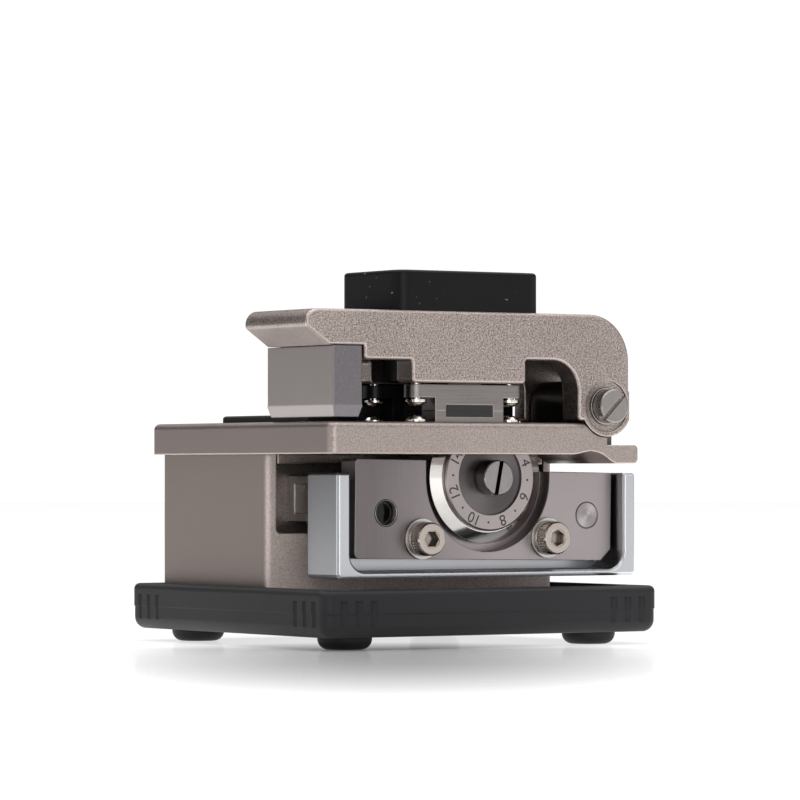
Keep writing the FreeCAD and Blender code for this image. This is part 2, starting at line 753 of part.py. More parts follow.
def fibre_guide():
    maker = Maker("guide_blank")
    bottom = f"{PLATE_TOP} - guide_sunk"
    xs = ("guide_left + fit_gap", "guide_right - fit_gap")
    ys = ("guide_front + fit_gap", f"{GUIDE_BACK} - fit_gap")
    maker.pad(maker.rectangle(xs, ys, offset=bottom), "guide_sunk + guide_height")
    top = f"{PLATE_TOP} + guide_height"
    maker.chamfer("0.3", {"z": top})
    groove = maker.polygon([("fibre_y - guide_groove", f"{top} + 0.01"),
                            ("fibre_y", f"{top} - guide_groove"),
                            ("fibre_y + guide_groove", f"{top} + 0.01")], "YZ_Plane", "guide_left - 1")
    maker.pocket(groove, "guide_right - guide_left + 2")
    step = maker.rectangle(("guide_left + 9", "guide_left + 20"), ("fibre_y - 2.2", "fibre_y + 2.2"),
                           offset=top)
    maker.pocket(step, "guide_groove", back=True)
    tools = []
    for index, (x, y) in enumerate(GUIDE_SCREWS):
        tools.append(rod(f"guide_bore_{index}", (x, y, f"{PLATE_TOP} - 3"), "small_shank + fit_gap", "5"))
        tools.append(cone(f"guide_sink_{index}", (x, y, top), "small_head + fit_gap",
                          "small_shank + fit_gap",
                          "small_head - small_shank", "-z"))
    node(cut("fibre_guide", maker.body, tools), "fibre_guide")
    screws = [countersunk_screw(f"guide_screw_{index}", (x, y, top), "4.8", "-z", "small_shank",
                                "small_head")
              for index, (x, y) in enumerate(GUIDE_SCREWS)]
    node(group("guide_screws", screws), "guide_screws")


STEM_YS = ("fibre_y - stem_length / 2", "fibre_y + stem_length / 2")
PAD_YS = ("fibre_y - pad_length / 2", "fibre_y + pad_length / 2")
SIDES = (("right", "clamp_right_x"), ("left", "clamp_left_x"))


def lower_clamps():
    pads = []
    screws = []
    for side, x in SIDES:
        xs = (f"{x} - clamp_width / 2", f"{x} + clamp_width / 2")
        foot = clamp_bar(f"lower_bar_{side}", x, f"{PLATE_TOP} - clamp_foot", "clamp_foot")
        stem = box(f"lower_stem_{side}", xs, STEM_YS, (f"{PLATE_TOP} - clamp_foot", "fibre_z"))
        seat = box(f"lower_seat_{side}", (f"{xs[0]} - 1", f"{xs[1]} + 1"), PAD_YS,
                   (f"fibre_z - pad_height", f"fibre_z + 1"))
        holes = [rod(f"lower_hole_{side}_{index}", (x, y, f"{PLATE_TOP} - 3"),
                     "clamp_screw_radius + fit_gap", "4")
                 for index, y in enumerate((CLAMP_FRONT_Y, CLAMP_BACK_Y))]
        node(cut(f"lower_clamp_{side}", join(f"lower_blank_{side}", [foot, stem]), [seat, *holes]),
             f"lower_clamp_{side}")
        pads.append(box(f"lower_pad_{side}", xs, PAD_YS, (f"fibre_z - pad_height", "fibre_z")))
        for index, y in enumerate((CLAMP_FRONT_Y, CLAMP_BACK_Y)):
            screws.append(button_screw(f"lower_screw_{side}_{index}", (x, y, PLATE_TOP), "4", "z",
                                       "clamp_screw_radius", "clamp_head_radius", "clamp_head_height"))
    node(group("lower_clamp_pads", pads), "lower_clamp_pads")
    node(group("lower_clamp_screws", screws), "lower_clamp_screws")


def hinge_block():
    maker = Maker("hinge_casting")
    maker.pad(maker.rectangle(("hinge_front", "hinge_back"), ("tail_top", "pin_z + hinge_round"),
                              "YZ_Plane", "ear_left_inner + 0.5"), "slot_right - ear_left_inner - 1")
    maker.fillet("hinge_round - 0.1", {"y": "hinge_front", "z": "pin_z + hinge_round"},
                 {"y": "hinge_back", "z": "pin_z + hinge_round"})
    tools = [rod("hinge_bore", ("ear_left_inner", "pin_y", "pin_z"), "pin_radius + fit_gap", "20", "x")]
    for index, x in enumerate(HINGE_SCREW_X):
        tools.append(rod(f"hinge_thread_{index}", (x, HINGE_SCREW_Y, "tail_top - 1"),
                         "hinge_screw_shank + fit_gap", "3.6"))
    node(cut("hinge_block", maker.body, tools), "hinge_block")
    screws = [countersunk_screw(f"hinge_screw_{index}", (x, HINGE_SCREW_Y, "tail_bottom"), "5.4", "z",
                                "hinge_screw_shank", "hinge_screw_head")
                                for index, x in enumerate(HINGE_SCREW_X)]
    node(group("hinge_block_screws", screws), "hinge_block_screws")


def hinge_pin():
    length = f"(lid_right - lid_left + pin_tail)"
    points = [("0", "0"), ("pin_radius", "0"), ("pin_radius", length), ("pin_head_radius", length),
              ("pin_head_radius", f"{length} + pin_head_length - 0.2"),
              ("pin_head_radius - 0.2", f"{length} + pin_head_length"), ("0", f"{length} + pin_head_length")]
    turned("hinge_pin", points, (f"lid_left - pin_tail", "pin_y", "pin_z"), "x", "hinge_pin",
           ("slot_cut", "1.4", f"{length} + pin_head_length"), -45)
    ring = cut("clip_ring", rod("clip_outer", ("lid_left - 0.9", "pin_y", "pin_z"), "3.3", "0.7", "x"),
               [rod("clip_inner", ("lid_left - 2", "pin_y", "pin_z"), "pin_radius + fit_gap", "3", "x")])
    mouth = box("clip_mouth", ("lid_left - 2", "lid_left + 1"), ("pin_y - 1.5", "pin_y + 1.5"),
                ("pin_z - 5", "pin_z"))
    node(cut("hinge_clip", ring, [mouth]), "hinge_clip")
    washers = []
    for index, x in enumerate(("ear_left_inner + 0.05", "slot_right - 0.45")):
        disc = rod(f"washer_disc_{index}", (x, "pin_y", "pin_z"), "3.6", "0.4", "x")
        hole = rod(f"washer_hole_{index}", (f"{x} - 1", "pin_y", "pin_z"), "pin_radius + fit_gap", "3", "x")
        washers.append(cut(f"hinge_washer_{index}", disc, [hole]))
    node(group("hinge_washers", washers), "hinge_washers")


# ---- lid ----

def lid():
    maker = Maker("lid_casting")
    outline = [("nose_back", "brow_height"), ("lid_front", "nose_height"), ("lid_front", "lid_top"),
               ("lid_back", "lid_top"), ("lid_back", "pin_z - 2.4"), ("arch_back", "pin_z - 2.4"),
               ("arch_back", "arch_top"), ("skirt_back", "arch_top"), ("skirt_back", "skirt_bottom"),
               ("window_back", "skirt_bottom"), ("window_back", "window_top"), ("brow_back", "window_top"),
               ("brow_back", "brow_height")]
    maker.pad(maker.polygon(outline, "YZ_Plane", "lid_left"), "lid_right - lid_left")
    maker.fillet("nose_round", {"y": "lid_front", "z": "lid_top"})
    maker.fillet("lid_back_round", {"y": "lid_back", "z": "lid_top"})
    maker.fillet("arch_round", {"y": "arch_back", "z": "arch_top"})
    maker.fillet("lid_small_round", {"y": "skirt_back", "z": "skirt_bottom"},
                 {"y": "window_back", "z": "skirt_bottom"}, {"y": "brow_back", "z": "window_top"},
                 {"y": "lid_front", "z": "nose_height"}, {"y": "arch_back", "z": "pin_z - 2.4"})
    maker.fillet("lid_edge * 1.6", {"y": "window_back", "z": "window_top"},
                 {"y": "skirt_back", "z": "arch_top"})
    maker.chamfer("lid_edge", {"x": "lid_right"}, {"x": "lid_left"})
    eyes = []
    for side, (low, high) in (("right", ("slot_right", "lid_right")),
                              ("left", ("lid_left", "ear_left_inner"))):
        disc = rod(f"eye_{side}", (low, "pin_y", "pin_z"), "eye_radius", f"{high} - {low}", "x")
        flat = box(f"eye_flat_{side}", (f"{low} - 1", f"{high} + 1"), ("lid_back", "lid_back + 3"),
                   ("pin_z - 9", "pin_z + 9"))
        eyes.append(cut(f"eye_disc_{side}", disc, [flat]))
    blank = join("lid_blank", [maker.body, *eyes])
    tools = [
        box("lid_slot", ("slot_left", "slot_right"), ("brow_back - 0.01", "arch_back - 6"),
            ("skirt_bottom - 9", "slot_top")),
        box("lid_hollow", ("ear_left_inner", "slot_right"), ("skirt_back + 2", "lid_back - back_wall"),
            ("pin_z - 9", "slot_top")),
        box("lid_back_door", ("ear_left_inner", "slot_right"), ("lid_back - back_wall - 1", "lid_back + 1"),
            ("pin_z - 9", "back_wall_bottom")),
        rod("bush_bore", ("lid_left - 1", "pin_y", "pin_z"), "bush_radius + fit_gap",
            "lid_right - lid_left + 2", "x"),
        rod("boss_recess", ("lid_right - boss_depth", "pin_y", "pin_z"), "boss_radius", "3", "x"),
    ]
    for side, x in SIDES:
        for index, y in enumerate((CLAMP_FRONT_Y, CLAMP_BACK_Y)):
            tools.append(rod(f"guide_thread_{side}_{index}", (x, y, "skirt_bottom - 1"),
                             "clamp_screw_radius + fit_gap", "9"))
            tools.append(rod(f"spring_bore_{side}_{index}", (x, y, "skirt_bottom - 1"),
                             "spring_radius + fit_gap", "spring_length + 1.2"))
    for index, x in enumerate(BLOCK_SCREW_X):
        tools.append(rod(f"block_thread_{index}", (x, BLOCK_Y, f"{BLOCK_TOP} - 1"), "small_shank + fit_gap",
                         "5"))
    for index, y in enumerate(CAP_SCREW_Y):
        tools.append(rod(f"cap_hole_{index}", (CAP_SCREW_X, y, "slot_top - 1"), "small_shank + fit_gap",
                         "8"))
    for index, y in enumerate(HOLDER_SCREW_Y):
        tools.append(rod(f"holder_thread_{index}", (CAP_SCREW_X, y, "slot_top - 1"),
                         "small_shank + fit_gap", "4"))
    node(cut("lid", blank, tools), "lid")


BLOCK_SCREW_X = (f"{BLOCK_X} - 6", f"{BLOCK_X} + 6")
CAP_SCREW_X = "((slot_left + slot_right) / 2)"
CAP_SCREW_Y = ("cap_front + cap_wall + 1.2", "cap_back - cap_wall - 0.6")
HOLDER_SCREW_Y = ("holder_front + 2.4", "holder_back - 2.4")


def hinge_bushes():
    bushes = []
    long_ends = (("right", "slot_right", "lid_right - boss_depth + 0.3"),
                 ("left", "lid_left + 0.1", "ear_left_inner"))
    for side, low, high in long_ends:
        tube = rod(f"bush_tube_{side}", (low, "pin_y", "pin_z"), "bush_radius", f"{high} - ({low})", "x")
        hole = rod(f"bush_hole_{side}", (f"{low} - 1", "pin_y", "pin_z"), "pin_radius + fit_gap", "9", "x")
        bushes.append(cut(f"bush_{side}", tube, [hole]))
    node(group("hinge_bushes", bushes), "hinge_bushes")


def lid_cap():
    maker = Maker("cap_shell")
    xs = ("lid_left + cap_inset", "lid_right - cap_inset")
    ys = ("cap_front", "cap_back")
    maker.pad(maker.rectangle(xs, ys, offset="lid_top"), "cap_height")
    maker.fillet("cap_corner", *[{"x": x, "y": y} for x in xs for y in ys])
    maker.fillet("cap_edge", {"z": "lid_top + cap_height"})
    inside = maker.rectangle((f"{xs[0]} + cap_wall", f"{xs[1]} - cap_wall"),
                             (f"{ys[0]} + cap_wall", f"{ys[1]} - cap_wall"), offset="lid_top")
    maker.pocket(inside, "cap_height - cap_wall")
    posts = [rod(f"cap_post_{index}", (CAP_SCREW_X, y, "lid_top"), "small_head + 0.1", "cap_height - 0.5")
             for index, y in enumerate(CAP_SCREW_Y)]
    bores = [rod(f"cap_bore_{index}", (CAP_SCREW_X, y, "lid_top - 1"), "small_shank + fit_gap", "4.5")
             for index, y in enumerate(CAP_SCREW_Y)]
    node(cut("lid_cap", join("cap_blank", [maker.body, *posts]), bores), "lid_cap")
    screws = [cap_screw(f"cap_screw_{index}", (CAP_SCREW_X, y, "slot_top"), "lid_top - slot_top + 3", "-z",
                        "small_shank", "small_head", "1.3", "0.85") for index, y in enumerate(CAP_SCREW_Y)]
    node(group("cap_screws", screws), "cap_screws")


def front_block():
    xs = ("block_left", "block_right")
    ys = ("block_front", BLOCK_BACK)
    waist = "(block_bottom + block_taper_height)"
    upper = Maker("block_upper")
    upper.pad(upper.rectangle(xs, ys, offset=waist), f"{BLOCK_TOP} - {waist}")
    upper.fillet("0.3", *[{"x": x, "y": y} for x in xs for y in ys])
    lower = Maker("block_lower")
    lower.pad(lower.rectangle(xs, ys, offset=waist), "block_taper_height", back=True, taper="-block_taper")
    tools = [rod("magnet_bore", (BLOCK_X, BLOCK_Y, "block_bottom - 1"), "magnet_radius + fit_gap",
                 "magnet_length + 1.2")]
    for index, x in enumerate(BLOCK_SCREW_X):
        tools.append(rod(f"block_hole_{index}", (x, BLOCK_Y, "block_bottom - 1"), "small_shank + fit_gap",
                         "20"))
        tools.append(rod(f"block_well_{index}", (x, BLOCK_Y, "block_bottom - 1"), "small_head + 0.15", "7"))
    node(cut("front_block", join("block_blank", [upper.body, lower.body]), tools), "front_block")
    screws = [cap_screw(f"block_screw_{index}", (x, BLOCK_Y, "block_bottom + 6"),
                        f"{BLOCK_TOP} - block_bottom - 2.5",
                        "-z", "small_shank", "small_head", "1.6", "0.85")
                        for index, x in enumerate(BLOCK_SCREW_X)]
    node(group("front_block_screws", screws), "front_block_screws")
    node(rod("lid_magnet", (BLOCK_X, BLOCK_Y, "block_bottom + 0.1"), "magnet_radius", "magnet_length"),
         "lid_magnet")


def upper_clamps():
    guides = []
    for side, x in SIDES:
        springs = []
        xs = (f"{x} - clamp_width / 2", f"{x} + clamp_width / 2")
        bar = clamp_bar(f"upper_bar_{side}", x, "bar_bottom", "bar_height")
        stem = box(f"upper_stem_{side}", xs, STEM_YS, ("fibre_z", BAR_TOP))
        seat = box(f"upper_seat_{side}", (f"{xs[0]} - 1", f"{xs[1]} + 1"), PAD_YS,
                   (f"fibre_z - 1", f"fibre_z + pad_height"))
        holes = [rod(f"upper_hole_{side}_{index}", (x, y, "bar_bottom - 1"), "clamp_screw_radius + fit_gap",
                     "5")
                 for index, y in enumerate((CLAMP_FRONT_Y, CLAMP_BACK_Y))]
        node(cut(f"upper_clamp_{side}", join(f"upper_blank_{side}", [bar, stem]), [seat, *holes]),
             f"upper_clamp_{side}")
        node(box(f"upper_pad_{side}", xs, PAD_YS, ("fibre_z", f"fibre_z + pad_height")), f"upper_pad_{side}")
        for index, y in enumerate((CLAMP_FRONT_Y, CLAMP_BACK_Y)):
            head = "bar_bottom - clamp_travel - 0.05"
            guides.append(button_screw(f"guide_bolt_{side}_{index}", (x, y, head), "9", "-z",
                                       "clamp_screw_radius", "clamp_head_radius", "clamp_head_height"))
            coil = rod(f"coil_{side}_{index}", (x, y, f"{BAR_TOP} + 0.05"), "spring_radius",
                       f"skirt_bottom + spring_length - {BAR_TOP}")
            core = rod(f"core_{side}_{index}", (x, y, BAR_TOP), "clamp_screw_radius + 0.1", "9")
            springs.append(cut(f"spring_{side}_{index}", coil, [core]))
        node(group(f"clamp_springs_{side}", springs), f"clamp_springs_{side}")
    node(group("clamp_guide_screws", guides), "clamp_guide_screws")


def anvil():
    xs = ("slot_left + 0.2", "slot_right - 0.2")
    block = box("holder_block", xs, ("holder_front", "holder_back"), ("holder_bottom", "slot_top"))
    tools = [rod("holder_bore", ("anvil_x", "fibre_y", "holder_bottom - 1"), "anvil_stem_radius + fit_gap",
                 "6.4")]
    for index, y in enumerate(HOLDER_SCREW_Y):
        tools.append(rod(f"holder_hole_{index}", (CAP_SCREW_X, y, "holder_bottom - 1"),
                         "small_shank + fit_gap", "9"))
        tools.append(rod(f"holder_well_{index}", (CAP_SCREW_X, y, "holder_bottom - 1"), "small_head + 0.1",
                         "3"))
    node(cut("anvil_holder", block, tools), "anvil_holder")
    screws = [cap_screw(f"holder_screw_{index}", (CAP_SCREW_X, y, "holder_bottom + 2"), "6.5", "-z",
                        "small_shank", "small_head", "1.4", "0.85")
                        for index, y in enumerate(HOLDER_SCREW_Y)]
    node(group("anvil_holder_screws", screws), "anvil_holder_screws")
    head = Maker("anvil_head")
    head.pad(head.rectangle(("anvil_x - anvil_width / 2", "anvil_x + anvil_width / 2"),
                            ("fibre_y - anvil_length / 2", "fibre_y + anvil_length / 2"),
                            offset="anvil_bottom"),
             "anvil_height")
    head.chamfer("0.9", {"z": "anvil_bottom", "y": "fibre_y - anvil_length / 2"},
                 {"z": "anvil_bottom", "y": "fibre_y + anvil_length / 2"})
    stem = rod("anvil_stem", ("anvil_x", "fibre_y", f"{ANVIL_TOP} - 0.5"), "anvil_stem_radius",
               "anvil_stem_length + 0.5")
    node(join("anvil", [head.body, stem]), "anvil")
    seat = f"{ANVIL_TOP} + anvil_stem_length + 0.05"
    coil = rod("anvil_coil", ("anvil_x", "fibre_y", seat), "anvil_stem_radius - 0.1",
               f"holder_bottom + 5.35 - ({seat})")
    core = rod("anvil_core", ("anvil_x", "fibre_y", ANVIL_TOP), "anvil_stem_radius - 0.6", "9")
    node(cut("anvil_spring", coil, [core]), "anvil_spring")


# ---- blade slide ----

def slide_rail():
    maker = Maker("rail_channel")
    ys = ("rail_front", "rail_back")
    outline = [(RECESS_BACK, "rail_bottom"), (RAIL_FRONT_FACE, "rail_bottom"),
               (RAIL_FRONT_FACE, "rail_bottom + rail_flange"),
               (f"{RECESS_BACK} + rail_web", "rail_bottom + rail_flange"),
               (f"{RECESS_BACK} + rail_web", f"{RAIL_TOP} - rail_flange"),
               (RAIL_FRONT_FACE, f"{RAIL_TOP} - rail_flange"), (RAIL_FRONT_FACE, RAIL_TOP),
               (RECESS_BACK, RAIL_TOP)]
    maker.pad(maker.polygon(outline, "XZ_Plane", "-rail_back"), "rail_back - rail_front")
    tools = []
    for index, y in enumerate(RAIL_SCREW_Y):
        tools.append(rod(f"rail_hole_{index}", (f"{RECESS_BACK} - 1", y, RAIL_Z), "small_shank + fit_gap",
                         "5", "x"))
        tools.append(cone(f"rail_sink_{index}", (f"{RECESS_BACK} + rail_web", y, RAIL_Z),
                          "small_head + fit_gap",
                          "small_shank + fit_gap", "small_head - small_shank", "-x"))
    for index, y in enumerate(STOP_Y):
        tools.append(rod(f"stop_hole_{index}", (STOP_X, y, "rail_bottom - 1"), "0.55", "3"))
    node(cut("slide_rail", maker.body, tools), "slide_rail")
    screws = [countersunk_screw(f"rail_screw_{index}", (f"{RECESS_BACK} + rail_web", y, RAIL_Z), "6", "-x",
                                "small_shank", "small_head") for index, y in enumerate(RAIL_SCREW_Y)]
    node(group("rail_screws", screws), "rail_screws")
    stops = []
    for index, y in enumerate(STOP_Y):
        block = box(f"stop_block_{index}",
                    (f"{RECESS_BACK} + rail_web + fit_gap", f"{RAIL_FRONT_FACE} - 0.3"),
                    (f"{y} - stop_length / 2", f"{y} + stop_length / 2"),
                    ("rail_bottom + rail_flange + fit_gap", f"{RAIL_TOP} - rail_flange - stop_gap"))
        bore = rod(f"stop_bore_{index}", (STOP_X, y, "rail_bottom - 1"), "0.55", "4.5")
        stops.append(cut(f"stop_{index}", block, [bore]))
    node(group("rail_stops", stops), "rail_stops")
    screws = [button_screw(f"stop_screw_{index}", (STOP_X, y, "rail_bottom"), "3", "-z", "0.5", "0.9", "0.8")
              for index, y in enumerate(STOP_Y)]
    node(group("stop_screws", screws), "stop_screws")


STOP_X = f"({RAIL_FRONT_FACE} - 1.8)"
STOP_Y = ("(rail_front + 0.15 + stop_length / 2)", "(rail_back - 0.15 - stop_length / 2)")


def rail_carriage():
    maker = Maker("carriage_tongue")
    ys = ("carriage_front", "carriage_front + carriage_length")
    low = "rail_bottom + rail_flange + carriage_gap"
    high = f"{RAIL_TOP} - rail_flange - carriage_gap"
    maker.pad(maker.rectangle(ys, (low, high), "YZ_Plane", f"{RECESS_BACK} + rail_web + carriage_gap"),
              f"slide_left - {RECESS_BACK} - rail_web - carriage_gap")
    holes = maker.circles([(y, RAIL_Z) for y in CARRIAGE_SCREW_Y], "small_shank + fit_gap", "YZ_Plane",
                          "slide_left")
    maker.pocket(holes, "5", back=True)
    node(maker.body, "rail_carriage")
    screws = [countersunk_screw(f"carriage_screw_{index}", (WEB_RIGHT, y, RAIL_Z), "slide_web + 4.5", "-x",
                                "small_shank", "small_head") for index, y in enumerate(CARRIAGE_SCREW_Y)]
    node(group("carriage_screws", screws), "carriage_screws")


CARRIAGE_SCREW_Y = ("carriage_front + 5", "carriage_front + carriage_length - 5")
LOCK_Y = ("lock_front_y", "lock_back_y")


def slide_bracket():
    maker = Maker("bracket_blank")
    ys = ("slide_front", "slide_back")
    zs = ("slide_bottom", "slide_top")
    maker.pad(maker.rectangle(ys, zs, "YZ_Plane", "slide_left"), "slide_right - slide_left")
    hollow = [("slide_front + slide_wall", "slide_top + 1"),
              ("slide_front + slide_wall", "slide_bottom + slide_floor"),
              ("slide_back - slide_wall", "slide_bottom + slide_floor"),
              ("slide_back - slide_wall", "slide_top + 1")]
    maker.pocket(maker.polygon(hollow, "YZ_Plane", WEB_RIGHT), "slide_right - slide_left")
    maker.fillet("slide_round", {"y": "slide_front + slide_wall", "z": "slide_bottom + slide_floor"},
                 {"y": "slide_back - slide_wall", "z": "slide_bottom + slide_floor"})
    maker.fillet("slide_edge * 2", {"y": "slide_front", "z": "slide_bottom"},
                 {"y": "slide_back", "z": "slide_bottom"})
    maker.chamfer("slide_edge", {"x": "slide_right"}, {"y": "slide_front", "z": "slide_top"},
                  {"y": "slide_back", "z": "slide_top"})
    tools = []
    for index, y in enumerate(CARRIAGE_SCREW_Y):
        tools.append(rod(f"web_hole_{index}", ("slide_left - 1", y, RAIL_Z), "small_shank + fit_gap", "5",
                         "x"))
        tools.append(cone(f"web_sink_{index}", (WEB_RIGHT, y, RAIL_Z), "small_head + fit_gap",
                          "small_shank + fit_gap", "small_head - small_shank", "-x"))
    for index, y in enumerate(LOCK_Y):
        tools.append(rod(f"lock_thread_{index}", ("slide_left - 1", y, "lock_z"), "lock_radius + fit_gap",
                         "5", "x"))
    tools.append(rod("pivot_seat", ("slide_left - 1", "pivot_y", "pivot_z"), "pivot_radius + fit_gap", "5",
                     "x"))
    tools.append(rod("adjuster_seat", ("slide_left - 1", "adjuster_y", "adjuster_z"),
                     "adjuster_cam - 0.5 + fit_gap",
                     "5", "x"))
    node(cut("slide_bracket", maker.body, tools), "slide_bracket")


def blade_carrier():
    maker = Maker("carrier_blank")
    outline = [("-carrier_reach", "-carrier_low"), ("carrier_tail", "-carrier_low"),
               ("carrier_tail", "carrier_high_back"), ("wheel_y - pivot_y", "carrier_high_back"),
               ("wheel_y - pivot_y", "carrier_high_front"), ("-carrier_reach", "carrier_high_front")]
    maker.pad(maker.polygon(outline, "YZ_Plane"), "carrier_right - carrier_left")
    maker.chamfer("carrier_chamfer", {"y": "carrier_tail", "z": "-carrier_low"})
    maker.fillet("carrier_round", {"y": "-carrier_reach", "z": "-carrier_low"})
    maker.fillet("carrier_round * 0.5", {"y": "-carrier_reach", "z": "carrier_high_front"},
                 {"y": "carrier_tail", "z": "carrier_high_back"})
    place(maker.body, ("carrier_left", "pivot_y", "pivot_z"),
          Rotation(Vector(1, 0, 0), size("carrier_lean")))
    depth = "carrier_right - pocket_floor + 1"
    tools = [
        rod("wheel_pocket", ("pocket_floor", POCKET_Y, "wheel_z"), "pocket_radius", depth, "x"),
        box("wheel_mouth", ("pocket_floor", "carrier_right + 1"),
            (f"{POCKET_Y} - pocket_radius", f"{POCKET_Y} + pocket_radius"), ("wheel_z", "wheel_z + 9")),
        rod("axle_seat", ("carrier_left - 1", "wheel_y", "wheel_z"), "axle_radius + fit_gap", "5", "x"),
        rod("pivot_bore", ("carrier_left - 1", "pivot_y", "pivot_z"), "pivot_radius + fit_gap", "9", "x"),
        rod("cam_bore", ("carrier_left - 1", CAM_Y, "adjuster_z"), "adjuster_hole", "9", "x"),
    ]
    for index, y in enumerate(LOCK_Y):
        tools.append(rod(f"lock_bore_{index}", ("carrier_left - 1", y, "lock_z"), "lock_radius + lock_play",
                         "9", "x"))
    node(cut("blade_carrier", maker.body, tools), "blade_carrier")


def carrier_fixings():
    node(rod("pivot_pin", ("slide_left + 0.2", "pivot_y", "pivot_z"), "pivot_radius",
             "carrier_right - slide_left - 0.2", "x"), "pivot_pin")
    screws = []
    washers = []
    rings = []
    for index, y in enumerate(LOCK_Y):
        face = "carrier_right + fit_gap"
        ring_face = f"{face} + washer_thickness"
        head_face = f"{ring_face} + spring_washer_thickness"
        screws.append(cap_screw(f"lock_screw_{index}", (head_face, y, "lock_z"),
                                f"{head_face} - slide_left - 0.2",
                                "x", "lock_radius", "lock_head_radius", "lock_head_height", "1.45"))
        for name, where, radius, thickness, items in (
                ("flat", face, "washer_radius", "washer_thickness", washers),
                ("split", ring_face, "spring_washer_radius", "spring_washer_thickness", rings)):
            disc = rod(f"{name}_disc_{index}", (where, y, "lock_z"), radius, thickness, "x")
            hole = rod(f"{name}_hole_{index}", (f"{where} - 1", y, "lock_z"), "lock_radius + fit_gap", "3",
                       "x")
            items.append(cut(f"{name}_washer_{index}", disc, [hole]))
    node(group("lock_screws", screws), "lock_screws")
    node(group("lock_washers", washers), "lock_washers")
    node(group("lock_spring_washers", rings), "lock_spring_washers")


def height_adjuster():
    shaft = rod("adjuster_shaft", ("slide_left + 0.2", "adjuster_y", "adjuster_z"), "adjuster_cam - 0.5",
                f"{WEB_RIGHT} - slide_left", "x")
    cam = rod("adjuster_disc", (f"{WEB_RIGHT} + 0.1", CAM_Y, "adjuster_z"), "adjuster_cam",
              f"carrier_right - adjuster_sunk - {WEB_RIGHT} - 0.1", "x")
    face = "carrier_right - adjuster_sunk"
    bore = rod("adjuster_bore", (f"{face} - 2", CAM_Y, "adjuster_z"), "adjuster_cam - 0.45", "4", "x")
    flat = box("adjuster_flat", (f"{face} - 3", f"{face} + 3"),
               (f"{CAM_Y} - adjuster_cam", f"{CAM_Y} - 0.5"),
               ("adjuster_z - adjuster_cam", "adjuster_z + adjuster_cam"))
    socket = cut("adjuster_socket", bore, [flat])
    node(cut("height_adjuster", join("adjuster_blank", [shaft, cam]), [socket]), "height_adjuster")


def wheel():
    points = [("axle_radius + fit_gap", "-0.4"), ("axle_radius + 1.4", "-0.4"), ("axle_radius + 1.4", "0"),
              ("wheel_radius - wheel_bevel", "0"), ("wheel_radius", "(wheel_thickness - wheel_rim) / 2"),
              ("wheel_radius", "(wheel_thickness + wheel_rim) / 2"),
              ("wheel_radius - wheel_bevel", "wheel_thickness"),
              ("axle_radius + fit_gap", "wheel_thickness")]
    turned("blade_wheel", points, ("wheel_back", "wheel_y", "wheel_z"), "x", "blade_wheel")
    ring = [("axle_radius + fit_gap", "0"), ("dial_radius", "0"), ("dial_radius", "dial_thickness - 0.3"),
            ("dial_radius - 0.3", "dial_thickness"), ("dial_inner", "dial_thickness"),
            ("dial_inner", "dial_thickness - dial_recess"),
            ("axle_radius + fit_gap", "dial_thickness - dial_recess")]
    turned("dial_ring", ring, (WHEEL_FRONT, "wheel_y", "wheel_z"), "x", "dial_ring")
    face = f"{DIAL_FACE} - dial_recess"
    length = f"({face} - carrier_left + 0.1)"
    stud = [("1.3", "0"), ("axle_radius", "0"), ("axle_radius", length), ("1.3", length)]
    turned("blade_axle", stud, ("carrier_left - 0.1", "wheel_y", "wheel_z"), "x", "blade_axle")
    head = "dial_screw_height"
    screw = [("0", "-3.5"), ("1.2", "-3.5"), ("1.2", "0.1"), ("dial_screw_radius", "0.1"),
             ("dial_screw_radius", f"{head} - 0.2"), ("dial_screw_radius - 0.2", head), ("0", head)]
    turned("dial_screw", screw, (face, "wheel_y", "wheel_z"), "x", "dial_screw", ("slot_cut", "1.3", head),
           -11)


def check_model():
    """Stop if any feature failed or any sub-part isn't a valid solid."""
    for item in doc.Objects:
        if "Invalid" in item.State or "Error" in item.State:
            raise RuntimeError(f"{item.Label} failed: {item.State}")
    for item in NODES:
        shape = item.Shape
        if shape.isNull() or not shape.isValid() or not shape.Solids:
            raise RuntimeError(f"{item.Label} isn't a valid solid")


for build in (rubber_base, rubber_feet, base_plate, base_screws, lower_body, top_plate, plate_screws,
              keeper_disc, fibre_guide, lower_clamps, hinge_block, hinge_pin, lid, hinge_bushes, lid_cap,
              front_block, upper_clamps, anvil, slide_rail, rail_carriage, slide_bracket, blade_carrier,
              carrier_fixings, height_adjuster, wheel):
    build()
doc.recompute()
check_model()

os.makedirs("parts", exist_ok=True)
for item in NODES:
    item.Shape.exportStep(f"parts/{item.Label}.step")
    solids = len(item.Shape.Solids)
    print(f"{item.Label}: {solids} solid{'s' if solids > 1 else ''}, {item.Shape.Volume:.1f} mm3")
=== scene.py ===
"""Looks for the fibre cleaver: finishes, dial, coil springs, knurled screws and the studio.

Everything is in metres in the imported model's own frame: +Z up, +X towards the blade slide and its
dial, -Y towards the user, and the hinge at +Y.  Positions come from the frame's nodes.
"""

import json
import logging
import math
from dataclasses import dataclass
from enum import Enum
from typing import Any, Callable

import bpy
from mathutils import Matrix, Vector

